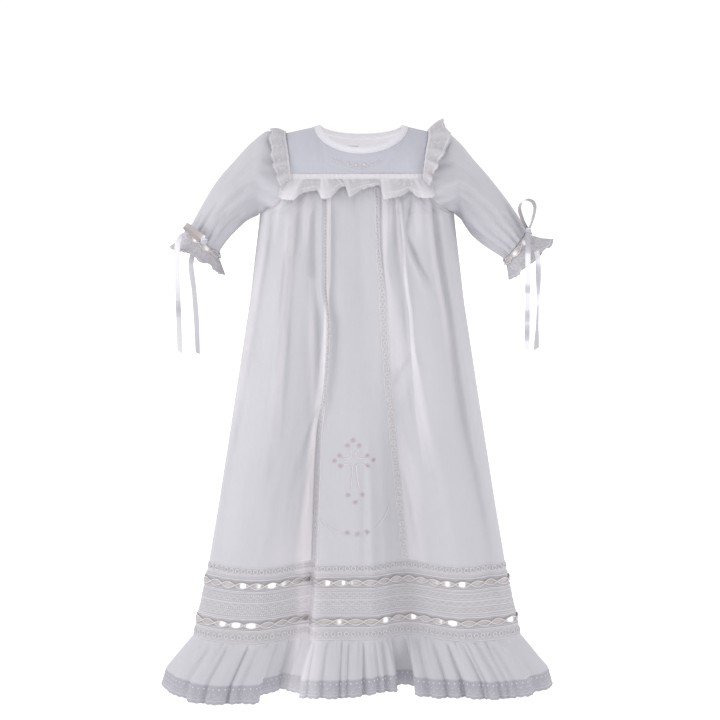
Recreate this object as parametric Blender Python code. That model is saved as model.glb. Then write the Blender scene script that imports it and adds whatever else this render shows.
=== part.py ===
"""Long christening gown, filled out and empty: yoke, puffed sleeves, panelled
skirt, lace band with two threaded ribbons, flounce and lace hem.

Lengths are millimetres until they become mesh points. +Z is up, the front
faces -Y, and z = 0 is a little above the shoulder points, at the neck.
"""

import math

import bpy
import numpy as np

for old in list(bpy.data.objects):
    bpy.data.objects.remove(old, do_unlink=True)

MM = 0.001

# ---- cloth thickness and seams
COTTON = 1.2
LACE = 1.1
RIBBON = 1.0
BINDING = 2.0
SEAM = 0.35  # gap left between two pieces along a seam

# ---- heights
YOKE_SEAM = -87.0
UNDERARM = -127.0
BAND_TOP = -629.5
BAND_BOTTOM = -742.0
FLOUNCE_EDGE = -800.0
HEM = -818.0

# ---- body: half width at the side seams, how far the side seams stand back
# of x-z plane (negative is forward), depth of the back behind them
BODY_COLUMNS = ("z", "half_width", "seam_y", "back_depth")
BODY = (
    (0.0, 115.0, 0.0, 40.0),
    (YOKE_SEAM, 125.0, 0.0, 46.0),
    (UNDERARM, 137.0, -1.0, 50.0),
    (-253.0, 152.5, -6.0, 56.0),
    (-398.0, 175.5, -11.0, 60.0),
    (-546.0, 199.5, -17.0, 62.0),
    (BAND_TOP, 214.0, -20.0, 62.0),
    (BAND_BOTTOM, 239.0, -20.0, 64.0),
    (FLOUNCE_EDGE, 280.0, -15.0, 86.0),
    (HEM, 288.0, -12.0, 94.0),
)

# ---- depth of the front before the side seams, by share of the half width
FRONT_COLUMNS = ("share", "chest", "band", "hem")
FRONT = (
    (-1.00, 62, 42, 66),
    (-0.80, 62, 46, 108),
    (-0.64, 62, 47, 100),
    (-0.52, 62, 38, 96),
    (-0.43, 62, 23, 42),
    (-0.36, 62, 9, 30),
    (-0.305, 62, -2, 48),
    (-0.27, 62, 28, 70),
    (-0.10, 62, 27, 75),
    (0.08, 62, 27, 54),
    (0.18, 62, 16, 40),
    (0.25, 62, 5, 8),
    (0.33, 62, 0, 66),
    (0.42, 62, 9, 74),
    (0.53, 62, 26, 70),
    (0.66, 62, 37, 80),
    (0.80, 62, 36, 82),
    (1.00, 62, 30, 60),
)

# ---- soft waves of the back, added to its depth
BACK_COLUMNS = ("share", "band", "hem")
BACK = (
    (-1.00, 0, 0),
    (-0.72, 8, 14),
    (-0.45, -14, -26),
    (-0.18, 8, 12),
    (0.08, -10, -20),
    (0.35, 9, 16),
    (0.60, -8, -16),
    (0.80, 5, 8),
    (1.00, 0, 0),
)

# ---- lace insertion strips of the front: centre x of each at a height
STRIP_HALF = 5.5
STRIP_COLUMNS = ("z", "wearer_right_x", "wearer_left_x")
STRIP = (
    (YOKE_SEAM, -41.5, 25.0),
    (-290.0, -49.0, 38.0),
    (-475.0, -52.5, 56.0),
    (BAND_TOP, -59.0, 69.0),
    (HEM, -72.0, 78.0),
)

# ---- armhole: half width of the cloth left beside it
ARMHOLE_COLUMNS = ("z", "half_width")
ARMHOLE = (
    (-20.0, 104.0),
    (-50.0, 98.0),
    (YOKE_SEAM, 95.0),
    (-103.0, 103.0),
    (-117.0, 117.0),
    (UNDERARM, 137.0),
)

# ---- neck
NECK_X = 6.0
NECK_OUTER = 64.0
NECK_INNER = 56.5
SHOULDER_TIP = 104.0
SHOULDER_Z = -7.0  # at the outer edge of the binding
SHOULDER_DROP = 0.22
SHOULDER_ROLL = 60.0  # height over which the cloth turns back to the seam
FRONT_NECK_DROP = 33.4
BACK_NECK_DROP = 19.0
BINDING_DROP = 7.0
FRONT_BINDING_DROP = 4.4

# ---- sleeves: rings seen from the front, upper point, lower point, depth
SLEEVE_COLUMNS = ("top_x", "top_z", "low_x", "low_z", "half_depth")
RIGHT_SLEEVE = (
    (126, -13, 141, -131, 50),
    (148, -28, 149, -135, 48),
    (173, -55, 160, -142, 43),
    (197, -83, 173, -154, 38),
    (215, -111, 185, -167, 33),
    (229, -135, 193, -178, 28),
    (236, -146, 196, -183, 27),
)
LEFT_SLEEVE = (
    (124, -13, 141, -131, 50),
    (144, -28, 146, -135, 48),
    (166, -54, 153, -145, 43),
    (190, -82, 163, -158, 38),
    (212, -110, 180, -173, 33),
    (230, -136, 201, -187, 28),
    (240, -150, 208, -192, 27),
)
RIGHT_CUFF = (
    (237, -147.5, 196.2, -184.3, 27),
    (243, -156, 195.5, -193, 27),
)
LEFT_CUFF = (
    (240.7, -151, 208.6, -193.2, 27),
    (247, -159, 212.5, -201.5, 27),
)
RIGHT_CUFF_LACE = (
    (243.3, -156.6, 195.5, -193.6, 27.5),
    (252, -167, 193, -204, 32),
    (263, -178, 191, -215, 38),
)
LEFT_CUFF_LACE = (
    (247.4, -159.5, 212.8, -202.0, 27.5),
    (262, -165, 216, -211, 32),
    (277, -169, 219, -220, 38),
)
CUFF_WAVES = 6
CUFF_WAVE = 3.0

# ---- flat bow and tails at each cuff: centre line of the ribbon
RIBBON_WIDTH = 7.5
TAIL_COLUMNS = ("x", "y", "z", "turn")
TAILS = {
    "tail_right_outer": (
        (-251.0, -53, -171, 5),
        (-251.5, -55, -210, -12),
        (-250.5, -54, -265, 14),
        (-249.5, -53, -321, 0),
    ),
    "tail_right_inner": (
        (-231.5, -61, -196, 20),
        (-227.5, -60, -235, -25),
        (-225.0, -58, -280, 20),
        (-224.0, -57, -322, 40),
    ),
    "tail_left_inner": (
        (242.3, -44, -155, 5),
        (244.0, -56, -175, 10),
        (245.5, -61, -210, -10),
        (246.0, -60, -265, 8),
        (245.8, -59, -319, 0),
    ),
    "tail_left_outer": (
        (259.5, -59, -194, -15),
        (259.5, -59, -235, 15),
        (258.5, -57, -280, -10),
        (257.5, -56, -318, 0),
    ),
}
LOOP_COLUMNS = ("x", "y", "z")
LOOPS = {
    "bow_left_loop": (
        (238.0, -37, -146.5),
        (231.0, -38, -132),
        (227.8, -38, -119),
        (230.5, -38, -111),
        (238.0, -38, -107),
        (246.0, -38, -110),
        (249.5, -38, -118),
        (247.5, -38, -131),
        (242.5, -37, -146.5),
    ),
    "bow_right_loop": (
        (-213.8, -50.8, -160.6),
        (-224.0, -52.0, -152.2),
        (-234.0, -52.0, -144.2),
        (-239.0, -50.6, -141.6),
        (-241.0, -48.4, -143.4),
        (-236.5, -47.2, -148.4),
        (-228.0, -47.0, -156.2),
        (-219.5, -47.0, -163.4),
    ),
}
# how far the ribbon's half width runs along x, y and z in each loop
LOOP_SPAN = {
    "bow_left_loop": (0.0, 1.0, 0.0),
    "bow_right_loop": (0.61, 0.0, 0.79),
}
KNOTS = {
    "bow_left_knot": (240.5, -37, -150.5),
    "bow_right_knot": (-211.5, -49.5, -165.5),
}

# ---- ruffles
YOKE_RUFFLE_LENGTH = 22.0
SHOULDER_RUFFLE = 24.0

# ---- back closing
PLACKET_LEFT = 1.5
PLACKET_RIGHT = -14.5
BUTTON_X = -7.0
BUTTON_RADIUS = 4.5
BUTTON_THICK = 2.4
BUTTON_HEIGHTS = {"back_button_upper": -40.0, "back_button_lower": -74.0}

# ---- columns round the body
FLAT_U = 0.65  # the middle of the front, before the sides turn away
FLAT_SHARE = 0.60
STRIP_U = (0.27, 0.30)
SIDE_STEPS = 5
PANEL_STEPS = 5
CENTRE_STEPS = 8
BACK_STEPS = 20
SKIRT_ROWS = (
    YOKE_SEAM, -96.0, -106.0, -117.0, UNDERARM,
    -184.0, -254.0, -338.0, -430.0, -530.0, BAND_TOP,
)


# ------------------------------------------------------------ interpolation
def smooth(table, column, at):
    """Monotone cubic through one column of a table whose first column is x."""
    x = np.array([row[0] for row in table], float)
    y = np.array([row[column] for row in table], float)
    if x[0] > x[-1]:
        x, y = x[::-1], y[::-1]
    h, d = np.diff(x), np.diff(y) / np.diff(x)
    m = np.zeros(len(x))
    m[0], m[-1] = d[0], d[-1]
    for i in range(1, len(x) - 1):
        if d[i - 1] * d[i] > 0:
            w1, w2 = 2 * h[i] + h[i - 1], h[i] + 2 * h[i - 1]
            m[i] = (w1 + w2) / (w1 / d[i - 1] + w2 / d[i])
    at = min(max(at, x[0]), x[-1])
    i = min(int(np.searchsorted(x, at, side="right")) - 1, len(h) - 1)
    t = (at - x[i]) / h[i]
    return (
        y[i] * (1 + 2 * t) * (1 - t) ** 2
        + m[i] * h[i] * t * (1 - t) ** 2
        + y[i + 1] * t * t * (3 - 2 * t)
        + m[i + 1] * h[i] * t * t * (t - 1)
    )


def straight(table, column, at):
    """Linear through one column of a table whose first column is x."""
    rows = sorted(table)
    return float(
        np.interp(at, [r[0] for r in rows], [r[column] for r in rows])
    )


def ease(a, b, at):
    t = min(max((at - a) / (b - a), 0.0), 1.0)
    return t * t * (3 - 2 * t)


# ------------------------------------------------------------ body surface
def edge_share(share):
    """How far the section has turned away at a share of the half width."""
    if abs(share) <= FLAT_SHARE:
        return 1.0
    part = min((abs(share) - FLAT_SHARE) / (1 - FLAT_SHARE), 1.0)
    return math.sqrt(max(1 - part * part, 0.0))


def full_width(z):
    return straight(BODY, 1, z)


def cut_width(z):
    """Half width of the cloth: the armhole cuts it above the underarm."""
    if z <= UNDERARM:
        return full_width(z)
    return smooth(ARMHOLE, 1, z)


def turned(u):
    """Share of the half width beyond the flat middle, sides crowded."""
    angle = (abs(u) - FLAT_U) / (1 - FLAT_U) * math.pi / 2
    return math.copysign(
        FLAT_SHARE + (1 - FLAT_SHARE) * math.sin(angle), u
    )


def front_share(u, z):
    """Column u of the front as a share of its cut half width at z."""
    if abs(u) > FLAT_U:
        return turned(u)
    width = cut_width(z)
    right = straight(STRIP, 1, z) / width
    left = straight(STRIP, 2, z) / width
    half = STRIP_HALF / width
    knots = (
        (-FLAT_U, -FLAT_SHARE),
        (-STRIP_U[1], right - half),
        (-STRIP_U[0], right + half),
        (STRIP_U[0], left - half),
        (STRIP_U[1], left + half),
        (FLAT_U, FLAT_SHARE),
    )
    return straight(knots, 1, u)


def shoulder_z(x):
    """Height of the shoulder seam, carried on across the neck."""
    return SHOULDER_Z + SHOULDER_DROP * (NECK_OUTER - abs(x - NECK_X))


def roll(x, z):
    """Share of the depth left where the cloth turns over the shoulder."""
    rise = (z - (shoulder_z(x) - SHOULDER_ROLL)) / SHOULDER_ROLL
    if rise <= 0:
        return 1.0
    return math.sqrt(max(1 - min(rise, 1.0) ** 2, 0.0))


def front_y(x, z):
    share = x / full_width(z)
    shape = straight(BODY, 2, z)
    chest = smooth(FRONT, 1, share)
    band = smooth(FRONT, 2, share)
    hem = smooth(FRONT, 3, share)
    to_band = ease(-150.0, -600.0, z)
    to_hem = ease(BAND_BOTTOM + 15, HEM - 15, z)
    depth = chest + (band - chest) * to_band
    depth += (hem - depth) * to_hem
    return shape - edge_share(share) * depth * roll(x, z)


def back_y(x, z):
    share = x / full_width(z)
    depth = straight(BODY, 3, z)
    wave = smooth(BACK, 1, share) * ease(-150.0, -600.0, z)
    wave += (smooth(BACK, 2, share) - wave) * ease(BAND_BOTTOM, HEM, z)
    return straight(BODY, 2, z) + edge_share(share) * (depth + wave) * roll(x, z)


def front_point(u, z):
    x = front_share(u, z) * cut_width(z)
    return np.array((x, front_y(x, z), z))


def back_point(u, z):
    share = turned(u) if abs(u) > FLAT_U else u / FLAT_U * FLAT_SHARE
    x = share * cut_width(z)
    return np.array((x, back_y(x, z), z))


def front_columns():
    side = np.linspace(1.0, FLAT_U, SIDE_STEPS + 1)[:-1]
    panel = np.linspace(FLAT_U, STRIP_U[1], PANEL_STEPS + 1)
    left = [*side, *panel]
    centre = np.linspace(-STRIP_U[0], STRIP_U[0], CENTRE_STEPS + 1)
    return [*(-np.array(left)), *centre, *left[::-1]]


def back_columns():
    side = np.linspace(1.0, FLAT_U, SIDE_STEPS + 1)[:-1]
    middle = np.linspace(-FLAT_U, FLAT_U, BACK_STEPS - 2 * SIDE_STEPS + 1)
    return [*(-side), *middle, *side[::-1]]


# ------------------------------------------------------------ mesh builders
def normals(grid, closed):
    """Outward unit normals of a grid: rows run down, columns anticlockwise
    as seen from above."""
    grid = np.asarray(grid, float)
    if closed:
        along = np.roll(grid, -1, 1) - np.roll(grid, 1, 1)
    else:
        along = np.gradient(grid, axis=1)
    down = np.gradient(grid, axis=0)
    n = np.cross(down, along)
    return n / np.linalg.norm(n, axis=2, keepdims=True)


def material(name, colour, rough):
    made = bpy.data.materials.new(name)
    made.use_nodes = True
    shader = made.node_tree.nodes["Principled BSDF"]
    shader.inputs["Base Color"].default_value = (*colour, 1.0)
    shader.inputs["Roughness"].default_value = rough
    return made


def solid(name, points, faces, skin):
    """A closed body in metres, its faces turned to point outwards."""
    volume = 0.0
    for face in faces:
        for k in range(1, len(face) - 1):
            a, b, c = (points[i] for i in (face[0], face[k], face[k + 1]))
            volume += float(np.dot(a, np.cross(b, c)))
    if volume < 0:
        faces = [tuple(reversed(face)) for face in faces]
    mesh = bpy.data.meshes.new(name)
    mesh.from_pydata([tuple(p * MM) for p in points], [], faces)
    mesh.validate()
    mesh.update()
    made = bpy.data.objects.new(name, mesh)
    mesh.materials.append(skin)
    bpy.context.scene.collection.objects.link(made)
    return made


def shell(name, grid, thick, skin, closed=False, out=None, lift=0.0):
    """A cloth wall of one thickness on a grid of points.

    The wall is centred `lift` off the grid along its normals; `out` gives
    the normals of a larger grid the piece is cut from.
    """
    grid = np.asarray(grid, float)
    n = normals(grid, closed) if out is None else np.asarray(out, float)
    outer = grid + n * (lift + thick / 2)
    inner = grid + n * (lift - thick / 2)
    rows, columns = grid.shape[:2]
    points = [*outer.reshape(-1, 3), *inner.reshape(-1, 3)]
    base = rows * columns
    spans = columns if closed else columns - 1
    faces = []

    def quad(a, b, c, d):
        faces.append((a, b, c))
        faces.append((a, c, d))

    for r in range(rows - 1):
        for c in range(spans):
            e = (c + 1) % columns
            a, b = r * columns + c, r * columns + e
            d, f = a + columns, b + columns
            quad(a, d, f, b)
            quad(base + a, base + b, base + f, base + d)
    last = (rows - 1) * columns
    for c in range(spans):
        e = (c + 1) % columns
        quad(c, e, base + e, base + c)
        quad(last + c, base + last + c, base + last + e, last + e)
    if not closed:
        for r in range(rows - 1):
            a, b = r * columns, (r + 1) * columns
            quad(a, base + a, base + b, b)
            a, b = a + columns - 1, b + columns - 1
            quad(a, b, base + b, base + a)
    return solid(name, points, faces, skin)


def drawn_in(grid, out, left=0.0, right=0.0, top=0.0, bottom=0.0):
    """The grid with its edges moved in by the seam gaps."""
    grid, out = np.array(grid, float), np.array(out, float)

    def move(edge, beside, gap):
        way = beside - edge
        size = np.linalg.norm(way, axis=-1, keepdims=True)
        return edge + way / size * gap

    if left:
        grid[:, 0] = move(grid[:, 0], grid[:, 1], left)
    if right:
        grid[:, -1] = move(grid[:, -1], grid[:, -2], right)
    if top:
        grid[0] = move(grid[0], grid[1], top)
    if bottom:
        grid[-1] = move(grid[-1], grid[-2], bottom)
    return grid, out


def frames(centre, turns):
    """Across and out directions along a hanging strip."""
    centre = np.asarray(centre, float)
    way = np.gradient(centre, axis=0)
    way /= np.linalg.norm(way, axis=1, keepdims=True)
    across = []
    for w, turn in zip(way, turns):
        side = np.cross(w, (0, -1, 0))
        side /= np.linalg.norm(side)
        face = np.cross(side, w)
        a = math.radians(turn)
        across.append(side * math.cos(a) + face * math.sin(a))
    return np.array(across)


# ------------------------------------------------------------ materials
cotton = material("cotton_lawn", (0.84, 0.83, 0.87), 0.9)
lace = material("cotton_lace", (0.78, 0.77, 0.81), 0.95)
satin = material("satin_ribbon", (0.90, 0.88, 0.87), 0.35)
pearl = material("pearl_button", (0.92, 0.91, 0.88), 0.25)

# ------------------------------------------------------------ skirt
FRONT_U = front_columns()
BACK_U = back_columns()


def body_rows(rows, side):
    point = front_point if side == "front" else back_point
    columns = FRONT_U if side == "front" else BACK_U
    return np.array([[point(u, z) for u in columns] for z in rows])


def ring_rows(rows):
    """Closed rings round the body: the front, then the back reversed."""
    return np.array([
        [front_point(u, z) for u in FRONT_U]
        + [back_point(u, z) for u in BACK_U[-2:0:-1]]
        for z in rows
    ])


front = body_rows(SKIRT_ROWS, "front")
front_out = normals(front, False)
back = body_rows(SKIRT_ROWS, "back")[:, ::-1]
back_out = normals(back, False)
for r, z in enumerate(SKIRT_ROWS):
    if z <= UNDERARM:  # one normal for both cloths at a side seam
        for k, way in ((0, -1.0), (-1, 1.0)):
            front_out[r, k] = (way, 0, 0)
            back_out[r, -1 - k if k == 0 else 0] = (way, 0, 0)

PANELS = (
    ("side_front_right", -1.0, -STRIP_U[1], cotton, COTTON),
    ("lace_strip_right", -STRIP_U[1], -STRIP_U[0], lace, LACE),
    ("centre_front_panel", -STRIP_U[0], STRIP_U[0], cotton, COTTON),
    ("lace_strip_left", STRIP_U[0], STRIP_U[1], lace, LACE),
    ("side_front_left", STRIP_U[1], 1.0, cotton, COTTON),
)
for name, first, last, skin, thick in PANELS:
    keep = [i for i, u in enumerate(FRONT_U) if first - 1e-6 <= u <= last + 1e-6]
    grid, out = drawn_in(
        front[:, keep], front_out[:, keep], SEAM, SEAM, SEAM, SEAM
    )
    shell(name, grid, thick, skin, out=out)
grid, out = drawn_in(back, back_out, SEAM, SEAM, SEAM, SEAM)
shell("back_skirt", grid, COTTON, cotton, out=out)

# ------------------------------------------------------------ lace band
BANDS = (
    ("insertion_upper", BAND_TOP, -642.5, lace, LACE),
    ("beading_upper", -642.5, -667.0, lace, LACE),
    ("net_insertion", -667.0, -705.0, lace, LACE),
    ("beading_lower", -705.0, -724.8, lace, LACE),
    ("insertion_lower", -724.8, BAND_BOTTOM, lace, LACE),
)
RIBBONS = (
    ("threaded_ribbon_upper", -657.0),
    ("threaded_ribbon_lower", -715.0),
)
for name, top, bottom, skin, thick in BANDS:
    grid = ring_rows((top - SEAM - 0.1, bottom))
    shell(name, grid, thick, skin, closed=True)
for name, z in RIBBONS:
    grid = ring_rows((z + RIBBON_WIDTH / 2, z - RIBBON_WIDTH / 2))
    shell(
        name, grid, RIBBON, satin, closed=True,
        lift=LACE / 2 + SEAM + 0.6 + RIBBON / 2,
    )
grid = ring_rows((BAND_BOTTOM - SEAM - 0.4, -770.0, FLOUNCE_EDGE))
shell("flounce", grid, COTTON, cotton, closed=True)
grid = ring_rows((FLOUNCE_EDGE - SEAM - 0.1, HEM))
shell("hem_lace", grid, LACE, lace, closed=True)


# ------------------------------------------------------------ yoke
def neck_edge(part, reach, drop, depth_of):
    """Neck curve at part -1..1, from one shoulder to the other."""
    angle = part * math.pi / 2
    x = NECK_X + reach * math.sin(angle)
    z = SHOULDER_Z + SHOULDER_DROP * (NECK_OUTER - reach)
    z -= drop * math.cos(angle) ** 1.15
    return np.array((x, depth_of(x, z), z))


NECK_PART = 0.56  # share of the yoke's columns that end at the neck
YOKE_COLUMNS = 16
YOKE_ROWS = 5


def yoke_grid(depth_of, drop, across):
    rows = []
    for row in range(YOKE_ROWS + 1):
        line = []
        for c in across:
            low_x = c * (cut_width(YOKE_SEAM) - 1.0)
            if abs(c) <= NECK_PART:
                top = neck_edge(c / NECK_PART, NECK_OUTER, drop, depth_of)
            else:
                part = (abs(c) - NECK_PART) / (1 - NECK_PART)
                near = NECK_X + math.copysign(NECK_OUTER, c)
                x = near + (math.copysign(SHOULDER_TIP, c) - near) * part
                top = np.array((x, 0.0, shoulder_z(x)))
            t = 1 - math.sin(row / YOKE_ROWS * math.pi / 2)
            t = 0.35 * t + 0.65 * (1 - row / YOKE_ROWS)
            z = YOKE_SEAM + SEAM + (top[2] - YOKE_SEAM - SEAM) * (1 - t)
            x = low_x + (top[0] - low_x) * (1 - t)
            line.append((x, depth_of(x, z), z))
        rows.append(line)
    return np.array(rows)[::-1]


across = np.linspace(-1, 1, YOKE_COLUMNS + 1)
grid = yoke_grid(front_y, FRONT_NECK_DROP, across)
out = normals(grid, False)
grid, out = drawn_in(grid, out, 0.2, 0.2, 1.0, 0.2)
shell("front_yoke", grid, COTTON, cotton, out=out)

grid = yoke_grid(back_y, BACK_NECK_DROP, across)[:, ::-1]
out = normals(grid, False)
middle = YOKE_COLUMNS // 2
for name, keep in (
    ("back_yoke_left", slice(0, middle + 1)),
    ("back_yoke_right", slice(middle, None)),
):
    part, n = drawn_in(grid[:, keep], out[:, keep], 0.2, 0.2, 1.0, 0.2)
    shell(name, part, COTTON, cotton, out=n)

# ------------------------------------------------------------ neck binding
BINDING_COLUMNS = 14
parts = np.linspace(-1, 1, BINDING_COLUMNS + 1)
edges = []
for reach, front_drop, back_drop in (
    (NECK_INNER, FRONT_NECK_DROP - FRONT_BINDING_DROP, BACK_NECK_DROP - BINDING_DROP),
    (NECK_OUTER - 1.2, FRONT_NECK_DROP - 1.4, BACK_NECK_DROP - 1.4),
):
    line = [neck_edge(p, reach, front_drop, front_y) for p in parts]
    line += [
        neck_edge(p, reach, back_drop, back_y) for p in parts[-2:0:-1]
    ]
    edges.append(line)
shell("neck_binding", edges, BINDING, cotton, closed=True)

# ------------------------------------------------------------ back closing
heights = np.linspace(-34.0, YOKE_SEAM + 3.0, 5)
grid = np.array([
    [(x, back_y(x, z), z) for x in (PLACKET_LEFT, PLACKET_RIGHT)]
    for z in heights
])
shell(
    "back_placket", grid, COTTON, cotton,
    lift=-(COTTON + SEAM + 0.35),
)
for name, z in BUTTON_HEIGHTS.items():
    y = back_y(BUTTON_X, z)
    lean = math.atan2(back_y(BUTTON_X, z - 2) - back_y(BUTTON_X, z + 2), 4.0)
    facing = np.array((0.0, math.cos(lean), math.sin(lean)))
    side = np.array((1.0, 0.0, 0.0))
    rise = np.cross(side, facing)
    centre = np.array((BUTTON_X, y, z)) + facing * (COTTON / 2 + SEAM + 0.3)
    count = 16
    ring = [
        side * math.cos(a) + rise * math.sin(a)
        for a in np.linspace(0, 2 * math.pi, count, endpoint=False)
    ]
    points, faces = [], []
    for reach, height in (
        (0.85, 0.0), (1.0, 0.6), (1.0, BUTTON_THICK - 0.5), (0.82, BUTTON_THICK),
    ):
        points += [
            centre + facing * height + way * BUTTON_RADIUS * reach for way in ring
        ]
    for level in range(3):
        for k in range(count):
            e = (k + 1) % count
            a, b = level * count + k, level * count + e
            faces.append((a, a + count, b + count))
            faces.append((a, b + count, b))
    faces.append(tuple(range(count)))
    faces.append(tuple(range(4 * count - 1, 3 * count - 1, -1)))
    solid(name, points, faces, pearl)


# ------------------------------------------------------------ sleeves
SLEEVE_RING = 20
ARMHOLE_SEAM = 2.2  # sleeve head starts this far outside the yoke's edge


def armhole_point(angle, sign):
    """Armhole edge: angle 0 at the shoulder, pi at the underarm."""
    depth_of = front_y if math.sin(angle) >= 0 else back_y
    part = (1 - math.cos(angle)) / 2
    high = shoulder_z(sign * SHOULDER_TIP) - 0.5
    z = high + (UNDERARM - high) * part
    x = sign * smooth(ARMHOLE, 1, z)
    y = depth_of(x, z)
    return np.array((x + sign * ARMHOLE_SEAM, y, z))


def oval_rings(table, sign, count, wave=None):
    rings = []
    for index, (top_x, top_z, low_x, low_z, deep) in enumerate(table):
        top = np.array((sign * top_x, 0.0, top_z), float)
        low = np.array((sign * low_x, 0.0, low_z), float)
        centre, reach = (top + low) / 2, (top - low) / 2
        centre[1] = -14.0 * ease(140, 240, top_x)
        line = []
        for k in range(count):
            angle = 2 * math.pi * k / count
            size = 1.0
            if wave and index:
                size += wave * index / (len(table) - 1) * math.cos(
                    CUFF_WAVES * angle + 0.6
                ) / deep
            line.append(
                centre
                + reach * math.cos(angle) * size
                + np.array((0.0, -deep, 0.0)) * math.sin(angle) * size
            )
        rings.append(line)
    return rings


def tube(name, rings, sign, thick, skin, lift=0.0):
    grid = np.array(rings, float)
    n = normals(grid, True)
    if sign > 0:
        n = -n
    shell(name, grid, thick, skin, closed=True, out=n, lift=lift)


SIDES = (
    ("right", -1, RIGHT_SLEEVE, RIGHT_CUFF, RIGHT_CUFF_LACE),
    ("left", 1, LEFT_SLEEVE, LEFT_CUFF, LEFT_CUFF_LACE),
)
for side, sign, sleeve, cuff, frill in SIDES:
    angles = [2 * math.pi * k / SLEEVE_RING for k in range(SLEEVE_RING)]
    head = [armhole_point(a, sign) for a in angles]
    tube(
        f"sleeve_{side}", [head] + oval_rings(sleeve, sign, SLEEVE_RING),
        sign, COTTON, cotton,
    )
    tube(
        f"cuff_beading_{side}", oval_rings(cuff, sign, SLEEVE_RING),
        sign, LACE, lace,
    )
    middle = []
    for share in (0.08, 0.92):
        middle.append(tuple(
            a + (b - a) * share for a, b in zip(cuff[0], cuff[1])
        ))
    tube(
        f"cuff_ribbon_{side}", oval_rings(middle, sign, SLEEVE_RING),
        sign, RIBBON, satin, lift=LACE / 2 + SEAM + RIBBON / 2,
    )
    tube(
        f"cuff_lace_{side}",
        oval_rings(frill, sign, SLEEVE_RING, CUFF_WAVE),
        sign, LACE, lace,
    )

# ------------------------------------------------------------ ruffles
# front yoke ruffle: a short heading, then the lace falling free
count = 24
lines = []
for drop, forward, wave in (
    (0.0, 2.4, 0.0), (9.0, 4.4, 1.0), (YOKE_RUFFLE_LENGTH, 8.5, 2.6),
):
    line = []
    for k in range(count + 1):
        c = -1 + 2 * k / count
        z = YOKE_SEAM + 5.0 - drop
        x = c * 91.5
        y = front_y(x, min(z, YOKE_SEAM)) - forward
        y -= wave * math.cos(k * math.pi * 0.66)
        z += 2.0 * wave / 2.6 * math.cos(k * math.pi * 0.5 + 0.4)
        line.append((x, y, z))
    lines.append(line)
shell("yoke_ruffle", lines, LACE, lace)

# shoulder ruffles: from the front yoke corner over the shoulder to the back
for side, sign in (("right", -1), ("left", 1)):
    steps = 20
    inner, centre_line, outer = [], [], []
    for k in range(steps + 1):
        part = -1 + 2 * k / steps  # -1 front corner, 0 shoulder, 1 back corner
        depth_of = front_y if part < 0 else back_y
        high = shoulder_z(sign * (SHOULDER_TIP - 5.5))
        z = high + (YOKE_SEAM + 8.0 - high) * abs(part) ** 1.3
        x = sign * (smooth(ARMHOLE, 1, z) - 5.5)
        y = depth_of(x, z)
        rise = 1 - abs(part)
        off = np.array((sign * 0.35, math.copysign(1, part) * abs(part) ** 0.5, 0))
        off[2] = rise + 0.15
        off /= np.linalg.norm(off)
        start = np.array((x, y, z)) + off * 2.6
        lean = np.array((
            sign * 0.92,
            0.42 * math.copysign(1, part) * abs(part) ** 0.5,
            0.75 * rise ** 0.7 - 0.10,
        ))
        lean /= np.linalg.norm(lean)
        size = SHOULDER_RUFFLE * (1 + 0.06 * math.cos(k * 1.9))
        size *= 0.55 + 0.45 * (1 - abs(part) ** 4)
        swing = off * 1.8 * math.cos(k * 1.25)
        inner.append(start)
        centre_line.append(start + lean * size * 0.5 + off * 1.4)
        outer.append(start + lean * size + swing)
    grid = np.array([inner, centre_line, outer])
    shell(f"shoulder_ruffle_{side}", grid, LACE, lace)


# ------------------------------------------------------------ bows and tails
def strip_along(name, centre, turns, width, thick, skin):
    across = frames(centre, turns)
    centre = np.asarray(centre, float)
    grid = np.array([centre - across * width / 2, centre + across * width / 2])
    shell(name, grid, thick, skin)


for name, table in TAILS.items():
    rows = [(row[2], row[0], row[1], row[3]) for row in table]
    heights = np.linspace(table[0][2], table[-1][2], 9)
    centre = [
        (smooth(rows, 1, z), smooth(rows, 2, z), z) for z in heights
    ]
    turns = [smooth(rows, 3, z) for z in heights]
    strip_along(name, centre, turns, RIBBON_WIDTH, RIBBON, satin)

for name, path in LOOPS.items():
    path = np.array(path, float)
    span = np.array(LOOP_SPAN[name]) * RIBBON_WIDTH / 2
    shell(name, np.array([path - span, path + span]), RIBBON, satin)

for name, (x, y, z) in KNOTS.items():
    size = np.array((2.0, 4.2, 2.6)) if "left" in name else np.array((3.6, 4.2, 2.4))
    points = [
        np.array((x, y, z)) + size * np.array((i, j, k))
        for k in (-1, 1) for j in (-1, 1) for i in (-1, 1)
    ]
    faces = [
        (0, 2, 3, 1), (4, 5, 7, 6), (0, 1, 5, 4),
        (2, 6, 7, 3), (0, 4, 6, 2), (1, 3, 7, 5),
    ]
    solid(name, points, faces, satin)
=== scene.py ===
"""A long white christening gown, worn and empty, as a small Blender add-on.

Lengths in the tables are millimetres: x to the wearer's left, the front
faces -y, z up, with z = 0 at the neck. Meshes are in metres.
"""
from functools import reduce
from math import atan2, cos, exp, pi, radians, sin, tau

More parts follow.
